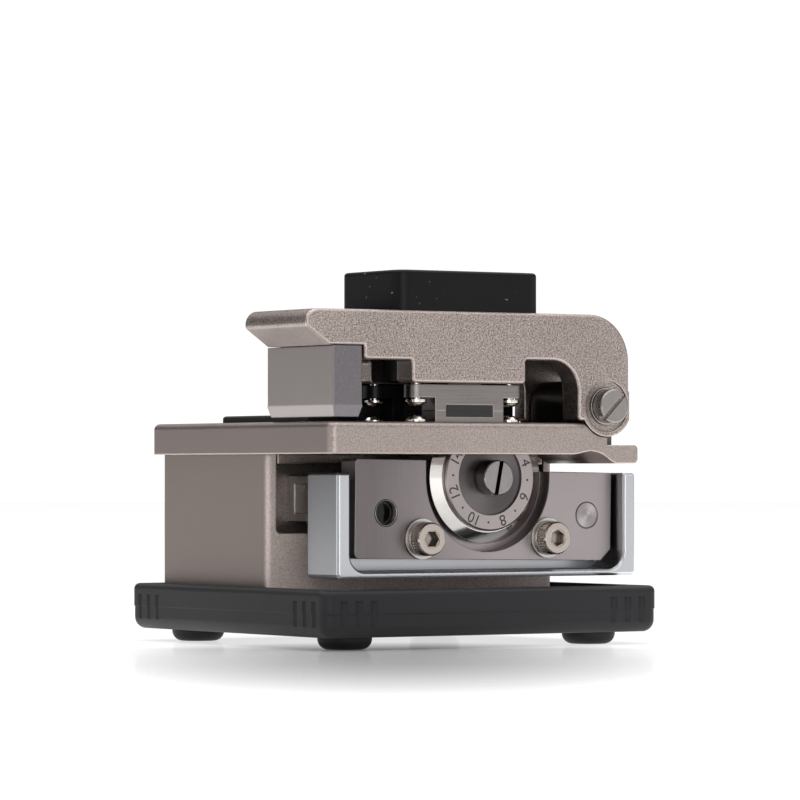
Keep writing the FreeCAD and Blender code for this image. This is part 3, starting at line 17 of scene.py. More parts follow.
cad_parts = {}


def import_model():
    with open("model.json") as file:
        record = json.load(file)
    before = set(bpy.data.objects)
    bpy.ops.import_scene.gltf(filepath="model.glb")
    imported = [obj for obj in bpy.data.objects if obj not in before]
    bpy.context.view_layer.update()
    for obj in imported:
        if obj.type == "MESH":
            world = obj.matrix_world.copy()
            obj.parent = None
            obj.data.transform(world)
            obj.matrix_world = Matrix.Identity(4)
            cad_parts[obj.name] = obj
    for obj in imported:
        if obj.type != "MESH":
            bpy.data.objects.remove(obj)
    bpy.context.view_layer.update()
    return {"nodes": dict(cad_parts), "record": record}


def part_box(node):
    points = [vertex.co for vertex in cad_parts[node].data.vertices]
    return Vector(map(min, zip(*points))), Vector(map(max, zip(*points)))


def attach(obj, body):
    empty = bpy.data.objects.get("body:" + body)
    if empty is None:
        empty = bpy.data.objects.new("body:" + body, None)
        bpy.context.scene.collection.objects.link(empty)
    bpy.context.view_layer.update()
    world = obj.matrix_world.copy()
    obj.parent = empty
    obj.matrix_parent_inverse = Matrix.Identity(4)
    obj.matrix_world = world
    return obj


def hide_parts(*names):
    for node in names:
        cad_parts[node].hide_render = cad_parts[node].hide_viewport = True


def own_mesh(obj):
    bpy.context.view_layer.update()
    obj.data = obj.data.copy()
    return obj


LOG = logging.getLogger("fibre_cleaver")
MM = 0.001
Triple = tuple[float, float, float]
SIDE: Triple = (1.0, 0.0, 0.0)
BACK: Triple = (0.0, 1.0, 0.0)
FRONT: Triple = (0.0, -1.0, 0.0)
UP: Triple = (0.0, 0.0, 1.0)
DOWN: Triple = (0.0, 0.0, -1.0)
WHITE = (1.0, 1.0, 1.0, 1.0)


# ---- shader maths ----

class Expression:
    """A value in a node tree that Python's operators turn into Math nodes."""

    def __init__(self, graph: "Graph", socket: Any) -> None:
        """Wrap a socket of a graph."""
        self.graph = graph
        self.socket = socket

    def _math(self, operation: str, *values: Any, clamp: bool = False) -> "Expression":
        """Add one Math node.

        Args:
            operation: the Math node's operation.
            values: its inputs, as numbers or expressions.
            clamp: whether the result is held between 0 and 1.

        Returns:
            The node's result.
        """
        settings = {"operation": operation, "use_clamp": clamp}
        return self.graph.add("ShaderNodeMath", settings, dict(enumerate(values)))

    def __add__(self, other: Any) -> "Expression":
        """Sum."""
        return self._math("ADD", self, other)

    def __radd__(self, other: Any) -> "Expression":
        """Sum, from the right."""
        return self._math("ADD", other, self)

    def __sub__(self, other: Any) -> "Expression":
        """Difference."""
        return self._math("SUBTRACT", self, other)

    def __rsub__(self, other: Any) -> "Expression":
        """Difference, from the right."""
        return self._math("SUBTRACT", other, self)

    def __mul__(self, other: Any) -> "Expression":
        """Product."""
        return self._math("MULTIPLY", self, other)

    def __truediv__(self, other: Any) -> "Expression":
        """Quotient."""
        return self._math("DIVIDE", self, other)

    def __pow__(self, other: Any) -> "Expression":
        """Power."""
        return self._math("POWER", self, other)

    def above(self, edge: float, softness: float) -> "Expression":
        """0 below an edge and 1 above it, with a ramp of the given softness.

        Args:
            edge: the middle of the ramp.
            softness: the ramp's width.

        Returns:
            The ramp.
        """
        ramp = (self - (edge - softness / 2)) / softness
        return self._math("MULTIPLY", ramp, 1.0, clamp=True)

    def swing(self, amount: Any) -> "Expression":
        """A value from 0 to 1 made to swing about zero, times an amount."""
        return (self - 0.5) * amount


class Tree:
    """A node tree that gets its nodes and links from Python."""

    def __init__(self, tree: bpy.types.NodeTree) -> None:
        """Start with an empty tree."""
        self.tree = tree
        self.tree.nodes.clear()

    def feed(self, socket: Any, value: Any) -> None:
        """Set a socket to a number or a colour, or link an expression to it."""
        if isinstance(value, Expression):
            self.tree.links.new(value.socket, socket)
        else:
            socket.default_value = value

    def add(self, kind: str, settings: dict[str, Any], inputs: dict[Any, Any],
            output: Any = 0) -> Expression:
        """Add a node.

        Args:
            kind: the node's type.
            settings: its properties, which are set first.
            inputs: values or expressions for its sockets, by name or number.
            output: the socket that is returned, by name or number.

        Returns:
            The chosen output.
        """
        node = self.tree.nodes.new(kind)
        for name, value in settings.items():
            setattr(node, name, value)
        for name, value in inputs.items():
            self.feed(node.inputs[name], value)
        return Expression(self, None if output is None else node.outputs[output])

    def dot(self, vector: Expression, axis: Any) -> Expression:
        """The dot product of two vectors."""
        inputs = {0: vector, 1: axis}
        return self.add("ShaderNodeVectorMath", {"operation": "DOT_PRODUCT"}, inputs, "Value")

    def length(self, vector: Expression) -> Expression:
        """The length of a vector."""
        return self.add("ShaderNodeVectorMath", {"operation": "LENGTH"}, {0: vector}, "Value")


class Graph(Tree):
    """The node tree of one material, with a Principled shader at its end."""

    def __init__(self, name: str) -> None:
        """Start a material of the given name."""
        self.material = bpy.data.materials.new(name)
        self.material.use_nodes = True
        super().__init__(self.material.node_tree)
        self.output = self.tree.nodes.new("ShaderNodeOutputMaterial")
        self.shader = self.tree.nodes.new("ShaderNodeBsdfPrincipled")
        self.tree.links.new(self.shader.outputs[0], self.output.inputs["Surface"])

    def place(self, stretch: Triple = (1.0, 1.0, 1.0),
              centre: Triple = (0.0, 0.0, 0.0)) -> Expression:
        """Coordinates on the object in metres, moved so that centre is zero and then stretched.

        Args:
            stretch: how much each axis is multiplied.
            centre: the point that becomes zero.

        Returns:
            The coordinates.
        """
        here = self.add("ShaderNodeTexCoord", {}, {}, "Object")
        moved = tuple(-c * s for c, s in zip(centre, stretch))
        return self.add("ShaderNodeMapping", {"vector_type": "POINT"},
                        {"Vector": here, "Location": moved, "Scale": stretch})

    def noise(self, scale: float, detail: float = 2.0, stretch: Triple = (1.0, 1.0, 1.0),
              roughness: float = 0.5) -> Expression:
        """Soft random patches, about 1 / scale metres across.

        Args:
            scale: patches per metre.
            detail: how many finer layers are added.
            stretch: how much each axis is multiplied first.
            roughness: how strong the finer layers are.

        Returns:
            A value from 0 to 1.
        """
        inputs = {"Vector": self.place(stretch), "Scale": scale, "Detail": detail,
                  "Roughness": roughness}
        return self.add("ShaderNodeTexNoise", {"noise_dimensions": "3D"}, inputs, "Fac")

    def blend(self, factor: Any, low: Triple, high: Triple) -> Expression:
        """A colour between two colours."""
        inputs = {0: factor, 6: (*low, 1.0), 7: (*high, 1.0)}
        return self.add("ShaderNodeMix", {"data_type": "RGBA"}, inputs, 2)

    def mottled(self, tone: Expression, colour: Triple, low: float, high: float) -> Expression:
        """A colour that varies from one share of itself to another."""
        return self.blend(tone, shade(colour, low), shade(colour, high))

    def tint(self, colour: Expression, factor: Any, other: Triple) -> Expression:
        """A varying colour blended towards one fixed colour."""
        inputs = {0: factor, 6: colour, 7: (*other, 1.0)}
        return self.add("ShaderNodeMix", {"data_type": "RGBA"}, inputs, 2)

    def rounded(self, radius: float) -> Expression:
        """The normal of the surface with its sharp edges rounded by a radius."""
        return self.add("ShaderNodeBevel", {"samples": 6}, {"Radius": radius})

    def edges(self, normal: Expression) -> Expression:
        """A value that is 1 along sharp edges and 0 away from them; it masks painted highlights."""
        flat = self.add("ShaderNodeNewGeometry", {}, {}, "Normal")
        return 1 - self.dot(normal, flat).above(0.975, 0.04)

    def facing(self, axis: Triple) -> Expression:
        """How far the surface faces along an axis, from -1 to 1."""
        return self.dot(self.add("ShaderNodeNewGeometry", {}, {}, "Normal"), Vector(axis))

    def on_side(self) -> Expression:
        """A value that is 1 on faces towards +X and 0 on the others."""
        return self.facing(SIDE).above(0.6, 0.4)

    def ramp(self, axis: Triple, low: float, high: float) -> Expression:
        """A value that rises from 0 to 1 between two places along an axis, in metres."""
        spot = self.add("ShaderNodeTexCoord", {}, {}, "Object")
        return self.dot(spot, Vector(axis)).above((low + high) / 2, high - low)

    def crevices(self, reach: float) -> Expression:
        """A value that is 1 deep in gaps and slots narrower than the reach and 0 in the open, from
        ambient occlusion; it masks painted shade.
        """
        openness = self.add("ShaderNodeAmbientOcclusion", {"samples": 6}, {"Distance": reach}, "AO")
        return 1 - openness.above(0.45, 0.7)

    def bump(self, height: Expression, depth: float, normal: Expression) -> Expression:
        """A normal roughened by a height of the given depth in metres."""
        inputs = {"Height": height, "Distance": depth, "Strength": 1.0, "Normal": normal}
        return self.add("ShaderNodeBump", {}, inputs)

    def finish(self, **sockets: Any) -> bpy.types.Material:
        """Set the shader's sockets.

        Args:
            sockets: values by socket name, with underscores for spaces.

        Returns:
            The finished material.
        """
        for name, value in sockets.items():
            self.feed(self.shader.inputs[name.replace("_", " ")], value)
        return self.material


def shade(colour: Triple, amount: float) -> Triple:
    """The same colour made darker or lighter by a factor."""
    return tuple(min(1.0, channel * amount) for channel in colour)


# ---- finishes ----

STEP = 0.4 * MM
GRAIN_SWING = 2.4
UNDER_CALM = 1.6
# painted shade on inner faces: its share, how dark it is, and where it eases off towards +Y
INNER_SHADE_SHARE = 0.85
INNER_SHADE = 0.1
INNER_LIT = (14.0 * MM, 20.0 * MM)
INNER_LIT_SHARE = 0.6
# painted light on matt faces towards +X: the grain's share and how much lighter
MATT_GRAIN = 1.3
MATT_PAINTED_LIGHT = 2.0
# painted highlight along edges: its share and how much lighter it is
EDGE_HIGHLIGHT_SHARE = 0.75
EDGE_HIGHLIGHT_LIGHT = 1.8
# how dark the painted shade in crevices is
GAP_SHADE_DARK = 0.12
SMALL_EDGE = 0.12 * MM
MOULDED_EDGE = 0.15 * MM
DUST_COLOUR = (0.12, 0.12, 0.12)
# the colour of painted shade in the crevices of turned metal
CREVICE_SHADE_COLOUR = (0.01, 0.01, 0.01)


class Axis(Enum):
    """The way that a finish's lines run."""

    X = (0.02, 1.0, 1.0)
    Y = (1.0, 0.02, 1.0)
    Z = (1.0, 1.0, 0.02)


@dataclass(frozen=True)
class Fade:
    """A painted change of brightness along an axis, up to a share of the colour at its high end: painted
    light where the share is above 1, painted shade where it is below.
    """

    axis: Triple
    low: float
    high: float
    share: float
    spare_side: bool = False

    def over(self, graph: Graph, colour: Expression, base: Triple) -> Expression:
        """The colour with the fade over it, except on faces towards +X if they're spared."""
        amount = graph.ramp(self.axis, self.low, self.high)
        if self.spare_side:
            amount = amount * (1 - graph.on_side())
        return graph.tint(colour, amount, shade(base, self.share))


@dataclass(frozen=True)
class BlastedMetal:
    """Bead-blasted and plated metal with a fine sparkling grain and rubbed edges.

    The options are a front colour that paints shade on faces towards -Y (a painted light on the block,
    where it is lighter), with the grain calmed there; a fade of painted shade; faces towards +X beyond
    matt_from made non-metallic and painted lighter; painted shade on inner faces and on tops; and painted
    shade in crevices.
    """

    name: str
    colour: Triple
    roughness: float = 0.40
    grain: float = 3900.0
    depth: float = 0.03 * MM
    contrast: float = 0.3
    edge: float = 0.4 * MM
    front: Triple | None = None
    fade: Fade | None = None
    matt: float = 0.0
    matt_from: float = -1.0
    inner_to: float | None = None
    top: float = 1.0
    calm: float = 0.0
    grime: float = 0.5

    def zones(self, graph: Graph, colour: Expression, ahead: Expression) -> Expression:
        """Paint shade and light into the colour on the front, along the fade, on tops and on inner faces.

        Args:
            graph: the material's graph.
            colour: the colour so far.
            ahead: a value that is 1 on the front.

        Returns:
            The new colour.
        """
        # painted shade on faces towards -Y; on the block the front colour is lighter, a painted light
        if self.front:
            colour = graph.tint(colour, ahead, self.front)
        # the fade paints shade along an axis
        if self.fade:
            colour = self.fade.over(graph, colour, self.colour)
        # painted shade on faces towards +Z
        if self.top < 1:
            above = graph.facing(UP).above(0.6, 0.3)
            colour = graph.tint(colour, above, shade(self.colour, self.top))
        # painted shade on inner faces towards +X short of a given X, with less of it towards +Y
        if self.inner_to:
            outside = graph.ramp(SIDE, self.inner_to - STEP, self.inner_to)
            lit = graph.ramp(BACK, *INNER_LIT) * INNER_LIT_SHARE
            inside = (1 - outside) * INNER_SHADE_SHARE * (1 - lit)
            colour = graph.tint(colour, graph.on_side() * inside, shade(self.colour, INNER_SHADE))
        return colour

    def material(self) -> bpy.types.Material:
        """Build the material."""
        graph = Graph(self.name)
        grain = graph.noise(self.grain, 1.5, roughness=0.6)
        cloud = graph.noise(80.0, 3.0)
        under = graph.facing(DOWN).above(0.4, 0.3)
        ahead = graph.facing(FRONT).above(0.94, 0.16)
        strength = GRAIN_SWING - under * UNDER_CALM
        tone = grain.swing(strength) * (1 - ahead * self.calm) + cloud.swing(0.25) + 0.5
        rounded = graph.rounded(self.edge)
        edge_highlight_and_wear = graph.edges(rounded)
        colour = graph.mottled(tone, self.colour, 1 - self.contrast, 1 + self.contrast)
        colour = self.zones(graph, colour, ahead)
        metal: Any = 1.0
        # faces towards +X beyond matt_from are made non-metallic and painted lighter with the grain, a
        # painted light
        if self.matt:
            side = graph.on_side() * graph.ramp(SIDE, self.matt_from, self.matt_from + STEP)
            metal = 1 - side * self.matt
            colour = graph.tint(colour, side * grain * MATT_GRAIN, shade(self.colour, MATT_PAINTED_LIGHT))
        # painted highlight along sharp edges; the lower roughness there stands for polish from rubbing
        colour = graph.tint(colour, edge_highlight_and_wear * EDGE_HIGHLIGHT_SHARE, shade(self.colour, EDGE_HIGHLIGHT_LIGHT))
        # painted shade in crevices, masked by ambient occlusion
        dirt = graph.crevices(1.0 * MM) * self.grime
        colour = graph.tint(colour, dirt, shade(self.colour, GAP_SHADE_DARK))
        return graph.finish(
            Base_Color=colour,
            Metallic=metal,
            Roughness=self.roughness + cloud.swing(0.06) - edge_highlight_and_wear * 0.08,
            Normal=graph.bump(grain, self.depth, rounded),
        )


@dataclass(frozen=True)
class GroundMetal:
    """Ground or brushed metal with fine lines along one axis, a painted highlight along its edges and
    painted shade in crevices.
    """

    name: str
    colour: Triple
    roughness: float = 0.28
    along: Axis = Axis.Y
    lines: float = 5200.0
    depth: float = 0.004 * MM
    contrast: float = 0.12
    edge: float = 0.25 * MM
    fade: Fade | None = None

    def material(self) -> bpy.types.Material:
        """Build the material."""
        graph = Graph(self.name)
        line = graph.noise(self.lines, 2.0, self.along.value, 0.7)
        cloud = graph.noise(110.0, 2.0)
        tone = line.swing(1.8) + cloud.swing(0.3) + 0.5
        rounded = graph.rounded(self.edge)
        colour = graph.mottled(tone, self.colour, 1 - self.contrast, 1 + self.contrast)
        if self.fade:
            colour = self.fade.over(graph, colour, self.colour)
        # painted highlight along sharp edges
        colour = graph.tint(colour, graph.edges(rounded) * 0.6, shade(self.colour, 2.0))
        # painted shade in crevices
        colour = graph.tint(colour, graph.crevices(0.8 * MM) * 0.6, shade(self.colour, 0.1))
        return graph.finish(
            Base_Color=colour,
            Metallic=1.0,
            Roughness=self.roughness + line.swing(0.12) + cloud.swing(0.08),
            Normal=graph.bump(line, self.depth, rounded),
        )


@dataclass(frozen=True)
class SmoothMetal:
    """Polished or plated metal with only faint handling marks, a painted highlight along its edges, and
    painted shade in its slots that turns into a painted highlight where slot is above 1.
    """

    name: str
    colour: Triple
    roughness: float = 0.16
    marks: float = 0.08
    dirt: float = 0.85
    reach: float = 1.6 * MM
    slot: float = 0.04

    def material(self) -> bpy.types.Material:
        """Build the material."""
        graph = Graph(self.name)
        cloud = graph.noise(700.0, 4.0, roughness=0.7)
        fine = graph.noise(4200.0, 2.0)
        rounded = graph.rounded(SMALL_EDGE)
        colour = graph.mottled(cloud, self.colour, 0.85, 1.1)
        # painted highlight along sharp edges
        colour = graph.tint(colour, graph.edges(rounded) * 0.5, shade(self.colour, 1.5))
        # painted shade in slots; a slot share above 1 paints a highlight there instead
        dirt = graph.crevices(self.reach) * self.dirt
        colour = graph.tint(colour, dirt, shade(self.colour, self.slot))
        return graph.finish(
            Base_Color=colour,
            Metallic=1.0,
            Roughness=self.roughness + cloud.swing(self.marks),
            Normal=graph.bump(fine, 0.0015 * MM, rounded),
        )


@dataclass(frozen=True)
class TurnedMetal:
    """Lathe-turned metal with rings, a painted conical sheen highlight, painted shade in crevices, and
    another tone in the middle.
    """

    name: str
    centre: Triple
    colour: Triple
    middle: Triple
    middle_radius: float
    rings: float = 3200.0
    roughness: float = 0.3
    contrast: float = 0.1
    sheen: float = 0.5
    sheen_turn: float = 50.0

    def material(self) -> bpy.types.Material:
        """Build the material."""
        graph = Graph(self.name)
        spot = graph.place((0.0, 1.0, 1.0), self.centre)
        radius = graph.length(spot)
        across = graph.add("ShaderNodeCombineXYZ", {}, {"X": radius})
        ring = graph.add("ShaderNodeTexNoise", {"noise_dimensions": "3D"},
                         {"Vector": across, "Scale": self.rings, "Detail": 2.0}, "Fac")
        turn = math.radians(self.sheen_turn)
        way = graph.add("ShaderNodeVectorMath", {"operation": "NORMALIZE"}, {0: spot}, "Vector")
        lobe = graph.dot(way, Vector((0.0, math.cos(turn), math.sin(turn))))
        outside = radius.above(self.middle_radius, 0.06 * MM)
        rounded = graph.rounded(SMALL_EDGE)
        colour = graph.blend(outside, self.middle, self.colour)
        # painted sheen: a conical highlight in two lobes about the centre
        shine = lobe * lobe * lobe * lobe * (1 - outside * 0.7) * self.sheen
        colour = graph.tint(colour, shine, shade(self.middle, 3.0))
        rings = ring.swing(self.contrast) * 4 + self.contrast
        colour = graph.tint(colour, rings, shade(self.colour, 0.6))
        # painted shade in crevices
        colour = graph.tint(colour, graph.crevices(0.8 * MM) * 0.7, CREVICE_SHADE_COLOUR)
        return graph.finish(
            Base_Color=colour,
            Metallic=1.0,
            Roughness=self.roughness + ring.swing(0.1),
            Normal=graph.bump(ring, 0.004 * MM, rounded),
        )


@dataclass(frozen=True)
class Moulded:
    """Moulded rubber or plastic with a fine spark-eroded skin and painted shade in its crevices."""

    name: str
    colour: Triple
    roughness: float = 0.45
    grain: float = 4200.0
    depth: float = 0.012 * MM
    dust: float = 0.0
    gloss: float = 0.3

    def material(self) -> bpy.types.Material:
        """Build the material."""
        graph = Graph(self.name)
        grain = graph.noise(self.grain, 3.0, roughness=0.65)
        cloud = graph.noise(60.0, 4.0)
        rounded = graph.rounded(MOULDED_EDGE)
        colour = graph.mottled(cloud, self.colour, 0.85, 1.2)
        # painted shade in crevices
        colour = graph.tint(colour, graph.crevices(1.0 * MM) * 0.6, shade(self.colour, 0.2))
        if self.dust:
            speck = graph.noise(1500.0, 0.0).above(0.835, 0.02) * self.dust
            colour = graph.tint(colour, speck, DUST_COLOUR)
        return graph.finish(
            Base_Color=colour,
            Specular_IOR_Level=self.gloss,
            Roughness=self.roughness + grain.swing(0.12) + cloud.swing(0.1),
            Normal=graph.bump(grain, self.depth, rounded),
        )


CHAMPAGNE = (0.292, 0.248, 0.229)
FINISHES = {
    "rubber": Moulded("charcoal_rubber", (0.0092, 0.0094, 0.0108), 0.5, 3600.0, 0.02 * MM,
                      gloss=0.25),
    "foot_rubber": Moulded("black_foot_rubber", (0.006, 0.006, 0.0065), 0.5),
    "sole_steel": GroundMetal("zinc_sole", (0.40, 0.40, 0.41), 0.4, Axis.X),
    # screws: painted shade deep in the sockets
    "screw_steel": SmoothMetal("nickel_screws", (0.36, 0.315, 0.28), 0.15, 0.14, 1.0, 2.4 * MM),
    # plate: the front colour is a painted shade
    "nickel": BlastedMetal("blasted_nickel", CHAMPAGNE, contrast=0.30, front=shade(CHAMPAGNE, 0.8),
                           calm=0.85),
    "bright_steel": SmoothMetal("bright_steel", (0.46, 0.44, 0.42), 0.26, dirt=0.6),
    "black_metal": Moulded("black_oxide", (0.006, 0.006, 0.0065), 0.35, 5000.0, 0.008 * MM,
                           gloss=0.2),
    "clamp_steel": GroundMetal("clamp_steel", (0.18, 0.164, 0.158), 0.3),
    "pad": Moulded("clamp_pads", (0.014, 0.013, 0.013), 0.55),
    "spring_steel": SmoothMetal("spring_wire", (0.4, 0.38, 0.36), 0.25),
    "black_plastic": Moulded("black_cap", (0.0035, 0.0035, 0.004), 0.36, 5200.0, 0.006 * MM, 1.0,
                             0.12),
    # block: the lighter, warmer front colour is a painted light
    "block_steel": BlastedMetal("satin_block", (0.14, 0.13, 0.137), 0.36, 4600.0, 0.012 * MM, 0.14,
                                0.3 * MM, front=(0.35, 0.315, 0.30)),
    "anvil_rubber": Moulded("hard_rubber", (0.02, 0.02, 0.02), 0.5),
    # slide: painted shade on tops and a fade of painted shade towards the top, spared on faces towards +X
    "slide_aluminium": BlastedMetal("slide_aluminium", (0.41, 0.415, 0.435), 0.30, 6000.0,
                                    0.004 * MM, 0.04, 0.3 * MM, top=0.42,
                                    fade=Fade(UP, 11.0 * MM, 29.5 * MM, 0.5, True)),
    # carrier: a fade of painted light towards +Y
    "carrier_steel": GroundMetal("carrier_steel", (0.139, 0.123, 0.124), 0.34, Axis.Z, 4200.0,
                                 contrast=0.1, fade=Fade(BACK, -16.0 * MM, 8.0 * MM, 2.05)),
    "dark_steel": SmoothMetal("dark_steel", (0.09, 0.08, 0.072), 0.3),
    "blade": SmoothMetal("lapped_blade", (0.5, 0.48, 0.46), 0.1, 0.05, 0.4),
}
NODE_FINISHES = {
    # lid: painted shade on inner faces towards +X and a little painted shade in crevices
    "lid": BlastedMetal("blasted_lid", shade(CHAMPAGNE, 0.95), contrast=0.62, inner_to=25.0 * MM,
                        grime=0.15),
    # body: painted shade on the front and painted light on faces towards +X beyond 5.6 mm
    "lower_body": BlastedMetal("blasted_body", CHAMPAGNE, 0.5, 3600.0, 0.03 * MM, 0.26,
                               front=shade(CHAMPAGNE, 0.74), matt=0.9, matt_from=5.6 * MM, calm=0.6,
                               grime=0.25),
    # dial screw: painted shade deep in its slot
    "dial_screw": SmoothMetal("dial_screw_steel", (0.24, 0.225, 0.22), 0.22, 0.1, 1.0, 2.0 * MM,
                              0.02),
    # hinge pin: a painted highlight in its slot
    "hinge_pin": SmoothMetal("pin_steel", (0.24, 0.225, 0.215), 0.28, 0.15, 0.8, 1.6 * MM, 2.6),
    # rail and carriage: painted light on faces towards +X
    "slide_rail": BlastedMetal("rail_steel", (0.5, 0.49, 0.48), 0.45, 4600.0, 0.01 * MM, 0.1,
                               matt=0.8),
    "rail_carriage": BlastedMetal("carriage_steel", (0.55, 0.54, 0.53), 0.45, 4600.0, 0.01 * MM,
                                  0.1, matt=0.8),
    "hinge_bushes": SmoothMetal("bush_steel", (0.34, 0.32, 0.305), 0.3, 0.1, 0.0),
    "clamp_guide_screws": SmoothMetal("dome_steel", (0.78, 0.73, 0.68), 0.13, 0.05, 0.4),
    "lower_clamp_screws": SmoothMetal("lower_dome_steel", (0.78, 0.73, 0.68), 0.13, 0.05, 0.4),
}
INK = Moulded("dial_ink", (0.045, 0.042, 0.042), 0.5)
DIAL_RING = (0.315, 0.280, 0.275)
DIAL_MIDDLE = (0.058, 0.052, 0.053)
DIAL_MIDDLE_RADIUS = 6.35 * MM
PIN_RIM = (0.07, 0.065, 0.065)
PIN_FACE = (0.26, 0.235, 0.235)
PIN_FACE_RADIUS = 2.08 * MM


# ---- mesh tools ----

WELD_DISTANCE = 0.002 * MM
SMOOTH_ANGLE = math.radians(32)


def deselect() -> None:
    """Leave nothing selected and object mode on."""
    if bpy.context.object and bpy.context.object.mode != "OBJECT":
        bpy.ops.object.mode_set(mode="OBJECT")
    bpy.ops.object.select_all(action="DESELECT")


def settle(item: bpy.types.Object) -> bpy.types.Object:
    """Move an object's place into its mesh, so that it sits at the origin."""
    deselect()
    item.select_set(True)
    bpy.context.view_layer.objects.active = item
    bpy.ops.object.transform_apply(location=True, rotation=True, scale=True)
    return item


def cylinder(name: str, radius: float, low: float, high: float, sides: int) -> bpy.types.Object:
    """A cylinder along its own Z.

    Args:
        name: the object's name.
        radius: its radius.
        low: where it starts.
        high: where it ends.
        sides: how many sides it has.

    Returns:
        The new object, which is active.
    """
    deselect()
    bpy.ops.mesh.primitive_cylinder_add(vertices=sides, radius=radius, depth=high - low,
                                        location=(0, 0, (low + high) / 2))
    item = bpy.context.object
    item.name = name
    return settle(item)


def pick(item: bpy.types.Object, mode: str, test: Callable[[Any], bool]) -> None:
    """Enter edit mode with the vertices or faces selected that pass a test.

    Args:
        item: the active object.
        mode: "VERT" or "FACE".
        test: whether a vertex or a face is selected.
    """
    bpy.ops.object.mode_set(mode="EDIT")
    bpy.ops.mesh.select_mode(type=mode)
    bpy.ops.mesh.select_all(action="DESELECT")
    bpy.ops.object.mode_set(mode="OBJECT")
    for element in item.data.vertices if mode == "VERT" else item.data.polygons:
        element.select = test(element)
    bpy.ops.object.mode_set(mode="EDIT")


def apply(item: bpy.types.Object, kind: str, **settings: Any) -> None:
    """Add a modifier with some settings and apply it."""
    deselect()
    item.select_set(True)
    bpy.context.view_layer.objects.active = item
    modifier = item.modifiers.new(kind.lower(), kind)
    for name, value in settings.items():
        setattr(modifier, name, value)
    bpy.ops.object.modifier_apply(modifier=modifier.name)


def carve(item: bpy.types.Object, tool: bpy.types.Object) -> None:
    """Cut a tool's shape out of an item, and throw the tool away."""
    apply(item, "BOOLEAN", operation="DIFFERENCE", object=tool, solver="EXACT")
    bpy.data.objects.remove(tool)


def finish_piece(item: bpy.types.Object, matrix: Matrix, material: bpy.types.Material, body: str) -> None:
    """Put a piece in its place, smooth it, give it its finish and let it ride.

    Args:
        item: the piece, modelled about its own Z axis.
        matrix: its place.
        material: its finish.
        body: the body that it moves with.
    """
    item.matrix_world = matrix
    settle(item)
    bpy.ops.object.mode_set(mode="EDIT")
    bpy.ops.mesh.select_all(action="SELECT")
    bpy.ops.mesh.remove_doubles(threshold=WELD_DISTANCE)
    bpy.ops.mesh.normals_make_consistent(inside=False)
    bpy.ops.object.mode_set(mode="OBJECT")
    bpy.ops.object.shade_smooth_by_angle(angle=SMOOTH_ANGLE)
    item.data.materials.append(material)
    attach(item, body)
    LOG.info("%s rides on %s", item.name, body)


def copy_of(item: bpy.types.Object, name: str) -> bpy.types.Object:
    """A copy with its own mesh."""
    twin = item.copy()
    twin.data = item.data.copy()
    twin.name = name
    bpy.context.scene.collection.objects.link(twin)
    return twin


# ---- screws that clamp the blade carrier ----

